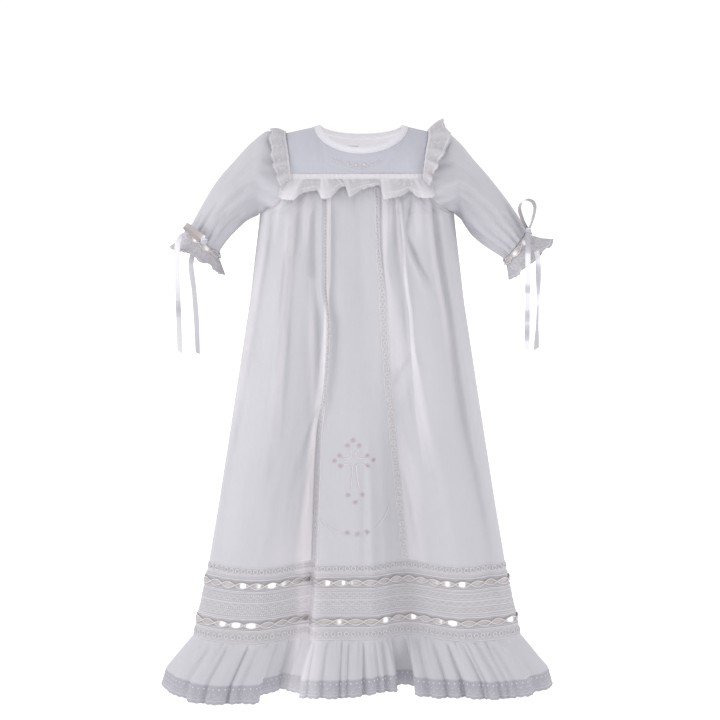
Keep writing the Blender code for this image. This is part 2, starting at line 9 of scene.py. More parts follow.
import bpy
import numpy as np
from bpy.props import FloatProperty, FloatVectorProperty, PointerProperty
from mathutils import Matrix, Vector


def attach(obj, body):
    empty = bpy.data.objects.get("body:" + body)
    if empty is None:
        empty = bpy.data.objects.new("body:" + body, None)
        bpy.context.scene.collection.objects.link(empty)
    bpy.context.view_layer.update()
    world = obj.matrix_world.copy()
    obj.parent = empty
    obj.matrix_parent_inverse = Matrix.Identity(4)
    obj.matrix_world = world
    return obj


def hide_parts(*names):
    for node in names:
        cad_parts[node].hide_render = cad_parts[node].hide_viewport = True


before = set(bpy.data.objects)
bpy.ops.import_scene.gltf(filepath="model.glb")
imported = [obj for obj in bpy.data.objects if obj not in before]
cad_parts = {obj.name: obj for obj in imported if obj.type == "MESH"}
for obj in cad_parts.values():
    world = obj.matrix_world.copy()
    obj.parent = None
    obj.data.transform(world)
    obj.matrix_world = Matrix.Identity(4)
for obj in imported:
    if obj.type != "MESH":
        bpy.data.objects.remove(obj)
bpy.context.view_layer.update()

bl_info = {
    "name": "Christening gown",
    "version": (1, 0, 0),
    "blender": (4, 5, 0),
    "location": "View3D > Sidebar > Gown",
    "description": "Builds a long christening gown of lawn, lace and ribbon",
    "category": "Mesh",
}

MM = 0.001

# ---- sizes
YOKE_SEAM = -87.0
UNDERARM = -127.0
BAND_TOP = -629.5
BAND_BOTTOM = -742.0
FLOUNCE_EDGE = -794.0
HEM = -819.5

# z, half width, y of the side seams, depth of the back
BODY = (
    (0.0, 115.0, 0.0, 40.0),
    (YOKE_SEAM, 125.0, 0.0, 46.0),
    (UNDERARM, 137.0, -1.0, 50.0),
    (-253.0, 152.5, -6.0, 56.0),
    (-398.0, 175.5, -11.0, 60.0),
    (-546.0, 199.5, -17.0, 62.0),
    (BAND_TOP, 214.0, -20.0, 62.0),
    (BAND_BOTTOM, 239.0, -20.0, 64.0),
    (FLOUNCE_EDGE, 280.0, -15.0, 86.0),
    (HEM, 288.0, -12.0, 94.0),
)
# share of the half width, depth at the chest, at the band and at the hem
FRONT = (
    (-1.00, 62, 42, 66),
    (-0.80, 62, 46, 108),
    (-0.64, 62, 47, 100),
    (-0.52, 62, 38, 96),
    (-0.43, 62, 23, 42),
    (-0.36, 62, 12, 33),
    (-0.305, 62, 4, 50),
    (-0.27, 62, 28, 70),
    (-0.10, 62, 27, 75),
    (0.08, 62, 27, 54),
    (0.18, 62, 16, 40),
    (0.25, 62, 5, 8),
    (0.33, 62, 0, 66),
    (0.42, 62, 9, 74),
    (0.53, 62, 26, 70),
    (0.66, 62, 37, 80),
    (0.80, 62, 36, 82),
    (1.00, 62, 30, 60),
)
# share of the half width, wave at the band and at the hem
BACK = (
    (-1.00, 0, 0),
    (-0.72, 8, 14),
    (-0.45, -14, -26),
    (-0.18, 8, 12),
    (0.08, -10, -20),
    (0.35, 9, 16),
    (0.60, -8, -16),
    (0.80, 5, 8),
    (1.00, 0, 0),
)
# lace strips of the front: centre and half width of each at a height. Where
# the half width is small the strip is turned edge on by the fold it lies in.
# z, centre and half width of the right strip, then of the left one
STRIP = (
    (YOKE_SEAM, -42.5, 2.6, 26.5, 2.6),
    (-113.0, -44.0, 2.2, 28.0, 2.4),
    (-176.0, -44.4, 2.2, 29.6, 2.8),
    (-225.0, -44.4, 2.2, 34.4, 4.2),
    (-281.0, -40.0, 2.2, 37.2, 4.8),
    (-327.0, -42.0, 2.2, 40.8, 5.0),
    (-388.0, -47.0, 2.6, 45.6, 5.5),
    (-441.0, -54.0, 4.8, 51.0, 5.5),
    (-500.0, -57.0, 5.5, 57.0, 5.5),
    (BAND_TOP, -61.5, 5.5, 70.0, 5.5),
)
# z, half width
ARMHOLE = (
    (-20.0, 104.0),
    (-50.0, 98.0),
    (YOKE_SEAM, 95.0),
    (-103.0, 103.0),
    (-117.0, 117.0),
    (UNDERARM, 137.0),
)
NECK_X = 6.0
NECK_OUTER = 64.0
NECK_INNER = 56.5
SHOULDER_TIP = 104.0
SHOULDER_Z = -7.0
SHOULDER_DROP = 0.22
SHOULDER_ROLL = 60.0
FRONT_NECK_DROP = 33.4
BACK_NECK_DROP = 19.0
BINDING_DROP = 7.0
FRONT_BINDING_DROP = 4.4
FLAT_U = 0.65
FLAT_SHARE = 0.60
STRIP_U = (0.27, 0.30)

# Folds of the skirt: each row is a place along one fold. The height is how
# far it stands out, negative for a trough, with its reach to either side.
# z, x, height, right reach, left reach
FRONT_FOLDS = {
    "far_right_trough": (
        (-87, -106, -2, 5, 9), (-113, -110, -6, 6, 11), (-187, -121, -8, 7, 12), (-250, -133, -8, 8, 13),
        (-384, -155, -8, 9, 15), (-499, -180, -7, 10, 17), (-616, -200, -5, 10, 18),
        (-742, -225, 0, 10, 18)),
    "far_right_lobe": (
        (-113, -124, 1, 6, 5), (-187, -134, 4, 7, 6), (-384, -170, 5, 9, 8), (-616, -214, 3, 9, 9),
        (-742, -238, 0, 9, 9)),
    "right_ridge": (
        (-87, -90, 2, 8, 4), (-109, -92, 5, 12, 4.5), (-160, -97, 7, 14, 4.5), (-221, -106, 7, 15, 4.5),
        (-304, -110, 7, 18, 5), (-395, -117, 6, 20, 6), (-479, -127, 3, 20, 8), (-600, -140, 0, 20, 12)),
    "right_ridge_line": (
        (-87, -83, -1, 2, 6), (-109, -84, -4, 2.6, 8), (-160, -89.6, -5, 2.6, 9),
        (-221, -98.6, -5, 2.6, 10), (-304, -102.6, -5, 2.8, 10), (-395, -110, -4, 3, 12),
        (-479, -120, -2, 4, 12), (-580, -130, 0, 6, 12)),
    "right_strip_crest": (
        (-87, -48, 1, 5, 3), (-113, -48.6, 7, 5.5, 3), (-225, -49, 8, 5.5, 3), (-281, -43.5, 8, 5.5, 3),
        (-327, -45.5, 7, 5.5, 3.4), (-388, -51, 5, 7, 5), (-441, -60, 2, 12, 6), (-520, -66, 1, 16, 8),
        (-620, -70, 0, 16, 8)),
    "right_strip_shadow": (
        (-100, -56, 0, 5, 3), (-130, -57, -3, 7, 2.6), (-225, -57, -4, 8, 2.6), (-281, -52, -4, 8, 2.6),
        (-327, -54, -3, 8, 3), (-400, -60, -1, 9, 4), (-450, -66, 0, 9, 4)),
    "right_centre_shadow": (
        (-100, -38, 0, 2.4, 6), (-130, -38.6, -3, 2.4, 7), (-225, -38.6, -4, 2.4, 7),
        (-281, -34, -4, 2.4, 8), (-327, -36, -3, 2.6, 8), (-400, -43, -2, 3, 9), (-470, -49, 0, 3, 9)),
    "right_drag_line": (
        (-396, -52, 0, 3, 5), (-414, -59.4, -2.6, 2.6, 6), (-460, -73.7, -3.4, 3, 8),
        (-499, -85.3, -2.6, 3.6, 9), (-537, -94, -1.4, 5, 9), (-580, -102, 0, 6, 9)),
    "right_drag_ridge": (
        (-410, -66, 0, 5, 4), (-460, -83, 2.4, 7, 5), (-510, -98, 2, 9, 6), (-580, -110, 0, 10, 8)),
    "right_drag_low": (
        (-470, -62, 0, 3, 4), (-520, -74, -1.8, 4, 5), (-570, -82, -1.8, 4, 6), (-625, -90, -1, 5, 6),
        (-660, -95, 0, 5, 6)),
    "right_drag_mid": (
        (-430, -90, 0, 6, 8), (-500, -112, 2, 8, 9), (-570, -128, 2.2, 9, 10), (-640, -142, 0, 9, 10)),
    "centre_soft_trough": (
        (-96, 4, -1, 7, 8), (-140, 5, -2, 8, 9), (-220, 8, -3.2, 10, 13), (-300, 14, -4, 13, 14),
        (-380, 18, -3.6, 12, 13), (-450, 20, -2, 10, 10), (-520, 22, 0, 10, 10)),
    "centre_left_soft": (
        (-100, -18, 1, 8, 8), (-200, -20, 2.4, 10, 10), (-330, -18, 2, 12, 12), (-420, -18, 0, 12, 12)),
    "centre_low_one": (
        (-440, 8, 0, 6, 6), (-520, 9, -2.2, 6, 6), (-600, 10, -2.4, 6, 7), (-660, 10, 0, 6, 7)),
    "centre_low_two": (
        (-440, 24, 0, 5, 5), (-530, 28, -2.2, 5, 5), (-610, 31, -2.4, 5, 6), (-660, 32, 0, 5, 6)),
    "centre_low_rise": (
        (-450, 17, 0, 5, 5), (-540, 19, 2, 6, 6), (-620, 20, 1.6, 6, 6), (-660, 21, 0, 6, 6)),
    "beside_strip_rise": (
        (-90, 38, 1, 4, 5), (-105, 41.7, 4, 5, 6), (-150, 41.4, 4.4, 5, 7), (-194, 42, 3, 5, 7),
        (-240, 47, 1.2, 5, 8), (-300, 52, 0, 5, 8)),
    "strip_side_line": (
        (-90, 33, -1, 2, 2.4), (-105, 34, -2.6, 2, 2.6), (-176, 35, -2.6, 2, 2.6),
        (-230, 40.5, -1.6, 2.4, 2.6), (-330, 48, 0, 3, 3)),
    "thin_crease": (
        (-90, 57, 1, 2.6, 2.6), (-105, 57, 3.2, 2.8, 3), (-147, 58.5, 3.6, 2.8, 3),
        (-187, 64.2, 3.6, 2.8, 3), (-243, 72.8, 3.6, 2.8, 3), (-295, 75.8, 3.4, 2.8, 3),
        (-322, 80, 3, 3, 4), (-338, 83, 0, 4, 5)),
    "thin_crease_side": (
        (-95, 52, -1, 5, 2.6), (-147, 53.5, -2.6, 6, 2.6), (-243, 67.5, -2.6, 8, 2.6),
        (-322, 74, -1.6, 8, 3), (-340, 76, 0, 8, 3)),
    "cross_crease": (
        (-318, 82, 0, 4, 4), (-328, 78, -2.6, 4, 4), (-341, 70.4, -3, 5, 5), (-361, 57.8, -2, 5, 5),
        (-372, 51, 0, 5, 5)),
    "left_ridge": (
        (-316, 82, 0, 4, 5), (-340, 84, 3.4, 5, 7), (-384, 88, 5, 7, 10), (-441, 103, 5, 9, 13),
        (-499, 119, 5, 11, 15), (-557, 134, 4, 12, 16), (-610, 146, 2, 12, 16), (-680, 160, 0, 12, 16)),
    "left_ridge_line": (
        (-345, 78, 0, 4, 3), (-384, 80, -2.4, 6, 3), (-441, 93, -2.6, 8, 3.4), (-499, 107, -2.2, 9, 4),
        (-570, 122, 0, 9, 5)),
    "sharp_line": (
        (-92, 78, 0, 2, 4), (-124, 72.3, -4.4, 2.4, 5), (-148, 67.8, -3.4, 2.4, 5),
        (-183, 79.5, -5, 2.2, 6), (-214, 95.1, -4.4, 2.2, 6), (-232, 106.3, -3, 2.6, 6),
        (-252, 114, 0, 3, 6)),
    "sharp_line_rise": (
        (-130, 62, 0, 4, 3), (-183, 74, 2.6, 5, 2.6), (-214, 89, 2.6, 6, 2.6), (-246, 104, 0, 6, 3)),
    "far_left_trough": (
        (-87, 100, -3, 5, 4), (-106, 103.4, -8, 7, 4), (-139, 109, -11, 8, 4.5), (-207, 118, -12, 9, 5),
        (-252, 125.4, -12, 10, 5.5), (-329, 135.9, -12, 11, 6), (-386, 144.8, -12, 12, 6.5),
        (-444, 153.9, -11, 13, 7), (-502, 165.8, -10, 14, 8), (-561, 177.8, -9, 14, 8),
        (-608, 185.5, -7, 14, 9), (-742, 205, 0, 14, 10)),
    "far_left_lobe": (
        (-100, 115, 1, 4, 5), (-139, 120, 4, 5, 6), (-252, 139, 6, 7, 8), (-386, 160, 6, 8, 8),
        (-502, 183, 6, 9, 9), (-608, 203, 4, 10, 9), (-742, 225, 0, 10, 10)),
    "far_left_crease": (
        (-180, 126, 0, 3, 3), (-194, 130, -2.6, 2.6, 3), (-232, 142.7, -2.6, 2.6, 3),
        (-246, 147, 0, 3, 3)),
    "left_drag_one": (
        (-455, 58, 0, 3, 4), (-500, 68, 2, 3.6, 5), (-550, 80, 2.2, 4, 6), (-600, 90, 1.6, 5, 7),
        (-660, 99, 0, 5, 7)),
    "left_drag_two": (
        (-490, 61, 0, 3, 4), (-540, 73, -2, 3, 4), (-590, 82, -2, 4, 5), (-650, 90, 0, 4, 5)),
    "left_drag_three": (
        (-520, 118, 0, 4, 5), (-570, 108, -1.8, 5, 6), (-625, 104, -1.6, 5, 6), (-680, 103, 0, 5, 6)),
}
BACK_FOLDS = {
    "right_outer": (
        (-95, -96, -3, 6, 8), (-140, -101, -7, 8, 9), (-330, -126, -9, 12, 12), (-560, -158, -7, 15, 15),
        (-742, -190, 0, 16, 16)),
    "right_outer_rise": (
        (-95, -84, 2, 6, 5), (-180, -90, 5, 9, 7), (-400, -112, 6, 13, 10), (-640, -138, 3, 15, 12),
        (-742, -150, 0, 16, 12)),
    "right_inner": (
        (-92, -62, -2, 4, 5), (-150, -66, -5, 5, 7), (-300, -74, -6, 7, 10), (-420, -82, -3, 8, 10),
        (-500, -88, 0, 8, 10)),
    "right_inner_rise": (
        (-95, -45, 2, 6, 5), (-220, -50, 5, 9, 8), (-430, -60, 5, 12, 10), (-640, -72, 2, 14, 12),
        (-742, -80, 0, 14, 12)),
    "middle_trough": (
        (-92, -8, -2, 5, 5), (-160, -10, -5, 7, 6), (-330, -14, -7, 10, 8), (-560, -20, -5, 12, 10),
        (-742, -24, 0, 12, 12)),
    "middle_rise": (
        (-92, 14, 2, 5, 6), (-200, 18, 5, 8, 9), (-420, 24, 6, 12, 12), (-640, 32, 3, 14, 14),
        (-742, 36, 0, 14, 14)),
    "left_inner": (
        (-92, 44, -3, 4, 4), (-150, 48, -6, 6, 5), (-260, 56, -6, 7, 6), (-380, 66, -3, 9, 7),
        (-470, 74, 0, 9, 8)),
    "left_rise": (
        (-95, 66, 2, 6, 5), (-240, 78, 5, 9, 8), (-460, 102, 6, 13, 11), (-650, 126, 3, 14, 12),
        (-742, 138, 0, 14, 12)),
    "left_outer": (
        (-95, 92, -3, 6, 5), (-150, 100, -7, 8, 6), (-340, 128, -9, 11, 9), (-560, 164, -7, 13, 11),
        (-742, 192, 0, 14, 12)),
}
# painted highlights where the light catches the cloth of the front: the same
# columns as the folds, with a share of painted highlight in place of the height
FRONT_PAINTED_HIGHLIGHTS = {
    "strip_flap": (
        (-111, -37.3, 0.8, 7.4, 1.6), (-159, -37.4, 0.8, 7.5, 1.6), (-212, -37.6, 0.8, 7.0, 1.6),
        (-234, -39.8, 0.9, 5.4, 1.3), (-282, -42.0, 0.9, 4.3, 1.3), (-331, -45.4, 0.9, 5.9, 1.6),
        (-375, -48.7, 0.9, 7.6, 1.6), (-408, -51.0, 0.9, 9.7, 1.6), (-441, -53.2, 1.1, 13.0, 1.6),
        (-485, -55.0, 1.3, 17.0, 1.6), (-530, -56.2, 1.35, 21.0, 1.6), (-575, -58.0, 1.35, 24.0, 1.6),
        (-619, -59.3, 1.3, 26.0, 1.6)),
    "right_ridge": (
        (-111, -83.1, 0.35, 7.4, 2.1), (-137, -86.4, 0.5, 10.7, 2.1), (-159, -88.7, 0.55, 10.7, 2.1),
        (-212, -91.6, 0.55, 11.8, 2.1), (-266, -95.7, 0.5, 12.9, 2.1), (-320, -101.3, 0.45, 12.9, 2.7),
        (-375, -107.1, 0.4, 13.0, 3.2), (-430, -112.8, 0.2, 13.0, 5.4), (-485, -118.6, 0, 13.0, 5.4)),
    "strip_facet": (
        (-111, 37.1, 0.31, 2.7, 5.4), (-137, 34.0, 0.43, 1.6, 9.9), (-169, 35.1, 0.43, 1.6, 7.2),
        (-196, 37.3, 0.31, 1.6, 4.5), (-234, 40.6, 0.31, 1.6, 11.8), (-277, 43.4, 0.37, 1.6, 19.2),
        (-331, 46.2, 0.37, 1.6, 24.7), (-364, 49.0, 0.22, 1.6, 22.9), (-408, 52.9, 0.15, 1.6, 9.2),
        (-452, 57.4, 0.28, 1.6, 12.9), (-485, 59.7, 0.40, 1.6, 24.1), (-530, 63.1, 0.40, 1.6, 27.8),
        (-575, 67.6, 0.37, 1.6, 24.1), (-619, 74.9, 0.34, 1.6, 21.4)),
    "ridge_line": (
        (-116, 59.5, 0.6, 1.6, 2.1), (-169, 65.0, 0.6, 1.6, 2.1), (-223, 68.4, 0.7, 1.6, 2.7),
        (-266, 75.0, 0.7, 2.1, 2.7), (-320, 78.5, 0.8, 2.2, 4.3), (-364, 81.9, 0.5, 2.2, 9.7),
        (-408, 86.5, 0.45, 3.2, 13.0), (-452, 93.2, 0.25, 4.3, 14.1), (-496, 100.0, 0, 4.4, 14.1)),
    "side_lobe": (
        (-127, -127.9, 0.35, 5.3, 4.3), (-212, -138.2, 0.35, 7.5, 5.4), (-299, -150.7, 0.3, 8.6, 6.5),
        (-386, -162.3, 0.2, 10.8, 8.6), (-485, -173.0, 0, 10.9, 8.7)),
    "left_side_ridge": (
        (-116, 97.8, 0.3, 3.2, 4.3), (-169, 104.5, 0.3, 4.3, 4.3), (-223, 114.5, 0.4, 4.3, 4.3),
        (-277, 124.5, 0.35, 4.8, 4.8), (-342, 133.6, 0.2, 5.4, 5.4), (-408, 140.6, 0, 5.4, 5.4)),
    "top_one": (
        (-108, -108.1, 0.4, 6.4, 5.3), (-137, -113.0, 0.3, 5.3, 4.3), (-175, -116.5, 0, 5.3, 4.3)),
    "top_two": ((-108, -68.2, 0.35, 6.4, 6.4), (-143, -70.4, 0.3, 5.3, 4.3), (-180, -72.7, 0, 5.3, 4.3)),
    "top_three": ((-108, 51.5, 0.4, 4.3, 5.3), (-132, 48.9, 0.35, 4.3, 5.3), (-169, 47.9, 0, 4.3, 5.3)),
    "top_four": ((-108, 80.7, 0.3, 4.3, 7.4), (-137, 84.1, 0.3, 4.3, 6.4), (-175, 87.5, 0, 4.3, 6.4)),
    "low_hem": (
        (-519, -86.2, 0, 32.7, 32.7), (-597, -86.6, 0.18, 38.3, 38.3), (-619, -89.4, 0.25, 38.3, 38.3)),
}
# painted glow that lifts the shade at the back of a deep fold: the same
# columns as the folds, with a share of painted glow in place of the height
PAINTED_GLOW_FOLDS = {
    "strip_groove": (
        (-220, -64, 0.35, 5, 6), (-330, -63, 0.5, 5, 6), (-450, -62, 0.4, 5, 6), (-560, -67, 0.4, 6, 7),
        (-626, -72, 0.55, 8, 11), (-632, -76, 1.0, 11, 17), (-700, -77, 1.0, 11, 19),
        (-742, -80, 1.0, 12, 24), (-819, -94, 0.9, 16, 34)),
}
# fine gathers under the yoke: how many, how deep, how far down they run
GATHERS = {"front": (15, 2.4, 62.0, 11), "back": (17, 2.6, 80.0, 12)}
GATHERED_HALF = 93.0
# what the folds of the back are deepened by
BACK_FOLD_DEPTH = 1.7
FRONT_SEED, BACK_SEED = 21, 31


# ---- interpolation
def column(table, index):
    rows = sorted(table)
    return (
        np.array([row[0] for row in rows], float),
        np.array([row[index] for row in rows], float),
    )


def bend(x, y, at):
    """Monotone cubic through (x, y), for arrays of places."""
    h, d = np.diff(x), np.diff(y) / np.diff(x)
    m = np.zeros(len(x))
    m[0], m[-1] = d[0], d[-1]
    for i in range(1, len(x) - 1):
        if d[i - 1] * d[i] > 0:
            w1, w2 = 2 * h[i] + h[i - 1], h[i] + 2 * h[i - 1]
            m[i] = (w1 + w2) / (w1 / d[i - 1] + w2 / d[i])
    at = np.clip(np.asarray(at, float), x[0], x[-1])
    i = np.clip(np.searchsorted(x, at, side="right") - 1, 0, len(h) - 1)
    t = (at - x[i]) / h[i]
    return (
        y[i] * (1 + 2 * t) * (1 - t) ** 2
        + m[i] * h[i] * t * (1 - t) ** 2
        + y[i + 1] * t * t * (3 - 2 * t)
        + m[i + 1] * h[i] * t * t * (t - 1)
    )


def smooth(table, index, at):
    return bend(*column(table, index), at)


def straight(table, index, at):
    x, y = column(table, index)
    return np.interp(at, x, y)


def ease(a, b, at):
    t = np.clip((np.asarray(at, float) - a) / (b - a), 0.0, 1.0)
    return t * t * (3 - 2 * t)


# ---- body surface
def edge_share(share):
    part = np.clip((np.abs(share) - FLAT_SHARE) / (1 - FLAT_SHARE), 0.0, 1.0)
    return np.sqrt(1 - part * part)


def full_width(z):
    return straight(BODY, 1, z)


def cut_width(z):
    z = np.asarray(z, float)
    return np.where(z <= UNDERARM, full_width(z), smooth(ARMHOLE, 1, z))


def turned(u):
    angle = (np.abs(u) - FLAT_U) / (1 - FLAT_U) * pi / 2
    return np.copysign(FLAT_SHARE + (1 - FLAT_SHARE) * np.sin(angle), u)


def front_x(u, z):
    """The x of column u of the front at height z, both single numbers."""
    width = float(cut_width(z))
    if abs(u) > FLAT_U:
        return float(turned(u)) * width
    right, left = float(smooth(STRIP, 1, z)), float(smooth(STRIP, 3, z))
    knots = (
        (-FLAT_U, -FLAT_SHARE * width),
        (-STRIP_U[1], right - float(smooth(STRIP, 2, z))),
        (-STRIP_U[0], right + float(smooth(STRIP, 2, z))),
        (STRIP_U[0], left - float(smooth(STRIP, 4, z))),
        (STRIP_U[1], left + float(smooth(STRIP, 4, z))),
        (FLAT_U, FLAT_SHARE * width),
    )
    return float(straight(knots, 1, u))


def shoulder_z(x):
    return SHOULDER_Z + SHOULDER_DROP * (NECK_OUTER - np.abs(x - NECK_X))


def roll(x, z):
    rise = (z - (shoulder_z(x) - SHOULDER_ROLL)) / SHOULDER_ROLL
    return np.sqrt(np.clip(1 - np.clip(rise, 0.0, 1.0) ** 2, 0.0, 1.0))


def front_y(x, z):
    share = x / full_width(z)
    chest, band, hem = (smooth(FRONT, k, share) for k in (1, 2, 3))
    depth = chest + (band - chest) * ease(-150.0, -600.0, z)
    depth = depth + (hem - depth) * ease(BAND_BOTTOM + 15, HEM - 15, z)
    return straight(BODY, 2, z) - edge_share(share) * depth * roll(x, z)


def back_y(x, z):
    share = x / full_width(z)
    wave = smooth(BACK, 1, share) * ease(-150.0, -600.0, z)
    wave = wave + (smooth(BACK, 2, share) - wave) * ease(BAND_BOTTOM, HEM, z)
    depth = straight(BODY, 3, z) + wave
    return straight(BODY, 2, z) + edge_share(share) * depth * roll(x, z)


def fold_height(folds, x, z, power=2):
    """How far all the folds together stand out at (x, z).

    A higher power gives a flat top with a quicker fall at both edges.
    """
    total = np.zeros_like(np.asarray(x, float))
    for rows in folds.values():
        place, height, right, left = (smooth(rows, k, z) for k in (1, 2, 3, 4))
        lowest, highest = min(r[0] for r in rows), max(r[0] for r in rows)
        fade = ease(lowest - 25, lowest, z) * ease(highest + 12, highest, z)
        off = x - place
        t = off / np.where(off < 0, right, left)
        total += height * fade * np.exp(-np.abs(t) ** power)
    return total


def painted_glow_share(grid):
    """How much painted glow lifts the shade of the front's deep folds, from 0 to 1."""
    x, y, z = grid[..., 0], grid[..., 1], grid[..., 2]
    return np.clip(fold_height(PAINTED_GLOW_FOLDS, x, z), 0, 1) * (y < straight(BODY, 2, z))


def gather_folds(kind, width):
    """Short uneven troughs that hang from the yoke seam."""
    count, deep, long, seed = GATHERS[kind]
    rng = np.random.default_rng(seed)
    folds = {}
    for k in range(count):
        x = width * (-1 + 2 * (k + rng.uniform(0.2, 0.8)) / count)
        depth, run = deep * rng.uniform(0.5, 1.2), long * rng.uniform(0.5, 1.5)
        reach, drift = rng.uniform(2.4, 4.2), rng.uniform(-3, 3)
        folds[f"gather_{k}"] = (
            (YOKE_SEAM, x, -depth, reach, reach),
            (YOKE_SEAM - run * 0.4, x * 1.04 + drift * 0.4, -depth * 0.8, reach * 1.2, reach * 1.4),
            (YOKE_SEAM - run, x * 1.10 + drift, 0.0, reach * 1.6, reach * 1.9),
        )
    return folds


def ripple(a, b, seed, cycles=5):
    """Low uneven swells of two coordinates, between about -1 and 1."""
    rng = np.random.default_rng(seed)
    total = np.zeros(np.broadcast(a, b).shape)
    for k in range(cycles):
        fa, fb = rng.uniform(0.5, 1.6, 2) * (1 + 0.35 * k)
        total += np.sin(a * fa + b * fb * rng.choice((-1, 1)) + rng.uniform(0, 6.28)) / (1 + 0.5 * k)
    return total / 2.2


# ---- mesh tools
def normals(grid, closed):
    if closed:
        along = np.roll(grid, -1, 1) - np.roll(grid, 1, 1)
    else:
        along = np.gradient(grid, axis=1)
    n = np.cross(np.gradient(grid, axis=0), along)
    return n / np.maximum(np.linalg.norm(n, axis=2, keepdims=True), 1e-9)


def travelled(points):
    """How far along a line of points each of them is."""
    return np.concatenate([[0.0], np.cumsum(np.linalg.norm(np.diff(points, axis=0), axis=1))])


def unit(ways):
    return ways / np.linalg.norm(ways, axis=1, keepdims=True)


def round_line(grid, closed):
    """The middle row of a grid, back to its start where it is closed."""
    middle = grid[len(grid) // 2]
    return np.vstack([middle, middle[:1]]) if closed else middle


def lengths(grid, closed, pitch):
    """The cloth's own coordinates in millimetres, along and down the cut."""
    across = travelled(round_line(grid, closed))
    if closed and pitch:
        across *= max(1, round(across[-1] / pitch)) * pitch / across[-1]
    if not closed:
        across -= across[-1] / 2
    steps = np.linalg.norm(np.diff(grid, axis=0), axis=2).mean(axis=1)
    return across, np.concatenate([[0.0], np.cumsum(steps)])


def put(name, data):
    """A new object in the scene."""
    made = bpy.data.objects.new(name, data)
    bpy.context.scene.collection.objects.link(made)
    return made


def link(name, mesh, skin):
    """Adds a piece, which replaces the part's node of that name if there is one."""
    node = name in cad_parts
    made = put(name + "_cloth" if node else name, mesh)
    mesh.materials.clear()
    mesh.materials.append(skin)
    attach(made, "root")
    if node:
        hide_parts(name)
    return made


def shaped(name, points, faces):
    """A smooth mesh from points in millimetres."""
    mesh = bpy.data.meshes.new(name)
    mesh.from_pydata((np.asarray(points) * MM).tolist(), [], faces)
    mesh.polygons.foreach_set("use_smooth", np.ones(len(faces), bool))
    return mesh


def cloth(name, grid, skin, slot, thick, closed=False, out=None, lift=0.0, pitch=None, flip=False):
    """A thin shell on a grid of points, whose rows run down the cloth."""
    grid = np.asarray(grid, float)
    rows, columns = grid.shape[:2]
    n = normals(grid, closed) if out is None else out
    if flip:
        n = -n
    outer, inner = grid + n * (lift + thick / 2), grid + n * (lift - thick / 2)
    across, down = lengths(grid, closed, pitch)
    spans = columns if closed else columns - 1
    r, c = np.meshgrid(np.arange(rows - 1), np.arange(spans), indexing="ij")
    e = (c + 1) % columns
    a, b, d, f = r * columns + c, r * columns + e, (r + 1) * columns + c, (r + 1) * columns + e
    base = rows * columns

    def corner(rr, cc):
        return np.stack([across[cc], -down[rr]], -1)

    front = np.stack([a, d, f, b], -1).reshape(-1, 4)
    uv = np.stack([corner(r, c), corner(r + 1, c), corner(r + 1, c + 1), corner(r, c + 1)], 2)
    uv = uv.reshape(-1, 4, 2)
    edges = [(row, k, row, k + 1, way) for row, way in ((0, 1), (rows - 1, -1)) for k in range(spans)]
    if not closed:
        sides = ((0, -1), (columns - 1, 1))
        edges += [(k, col, k + 1, col, way) for col, way in sides for k in range(rows - 1)]
    rim, rim_uv = [], []
    for r0, c0, r1, c1, way in edges:
        p, q = r0 * columns + c0, r1 * columns + c1 % columns
        here, there = (across[c0], -down[r0]), (across[c1], -down[r1])
        rim.append((p, q, base + q, base + p)[::way])
        rim_uv.append((here, there, there, here)[::way])
    faces = np.concatenate([front, front[:, ::-1] + base, rim])
    uvs = np.concatenate([uv, uv[:, ::-1], rim_uv])
    if flip:
        faces, uvs = faces[:, ::-1], uvs[:, ::-1]
    mesh = shaped(name, np.concatenate([outer.reshape(-1, 3), inner.reshape(-1, 3)]), faces.tolist())
    mesh.uv_layers.new(name="cut").data.foreach_set("uv", uvs.ravel())
    border = np.zeros((rows, columns), bool)
    border[[0, -1]] = True
    if not closed:
        border[:, [0, -1]] = True
    ends = np.zeros(len(mesh.edges) * 2, int)
    mesh.edges.foreach_get("vertices", ends)
    ends = ends.reshape(-1, 2)
    sharp = np.tile(border.ravel(), 2)[ends].all(axis=1) & ((ends >= base).sum(axis=1) != 1)
    mesh.edges.foreach_set("use_edge_sharp", sharp)
    return link(name, mesh, skin)


def paint(piece, label, values):
    """Gives a cloth one number at each grid point, the same on both faces."""
    values = np.asarray(values, float).ravel()
    if len(piece.data.vertices) == 2 * len(values):
        values = np.concatenate([values, values])
    piece.data.attributes.new(label, "FLOAT", "POINT").data.foreach_set("value", values)


# ---- node shorthand
class Kit:
    """One node tree, with every node added through one method."""

    def __init__(self, tree):
        self.tree = tree

    def add(self, kind, settings=None, inputs=None):
        node = self.tree.nodes.new(kind)
        for name, value in (settings or {}).items():
            setattr(node, name, value)
        for name, value in (inputs or {}).items():
            self.fill(node.inputs[name], value)
        return node

    def fill(self, socket, value):
        """Links a wire or an output to an input, or gives it a plain value."""
        if isinstance(value, Wire):
            value = value.socket
        if isinstance(value, bpy.types.NodeSocket):
            self.tree.links.new(value, socket)
        else:
            socket.default_value = (*value, 1.0) if socket.type == "RGBA" else value

    def wire(self, kind, settings=None, inputs=None, out=0):
        return Wire(self, self.add(kind, settings, inputs).outputs[out])


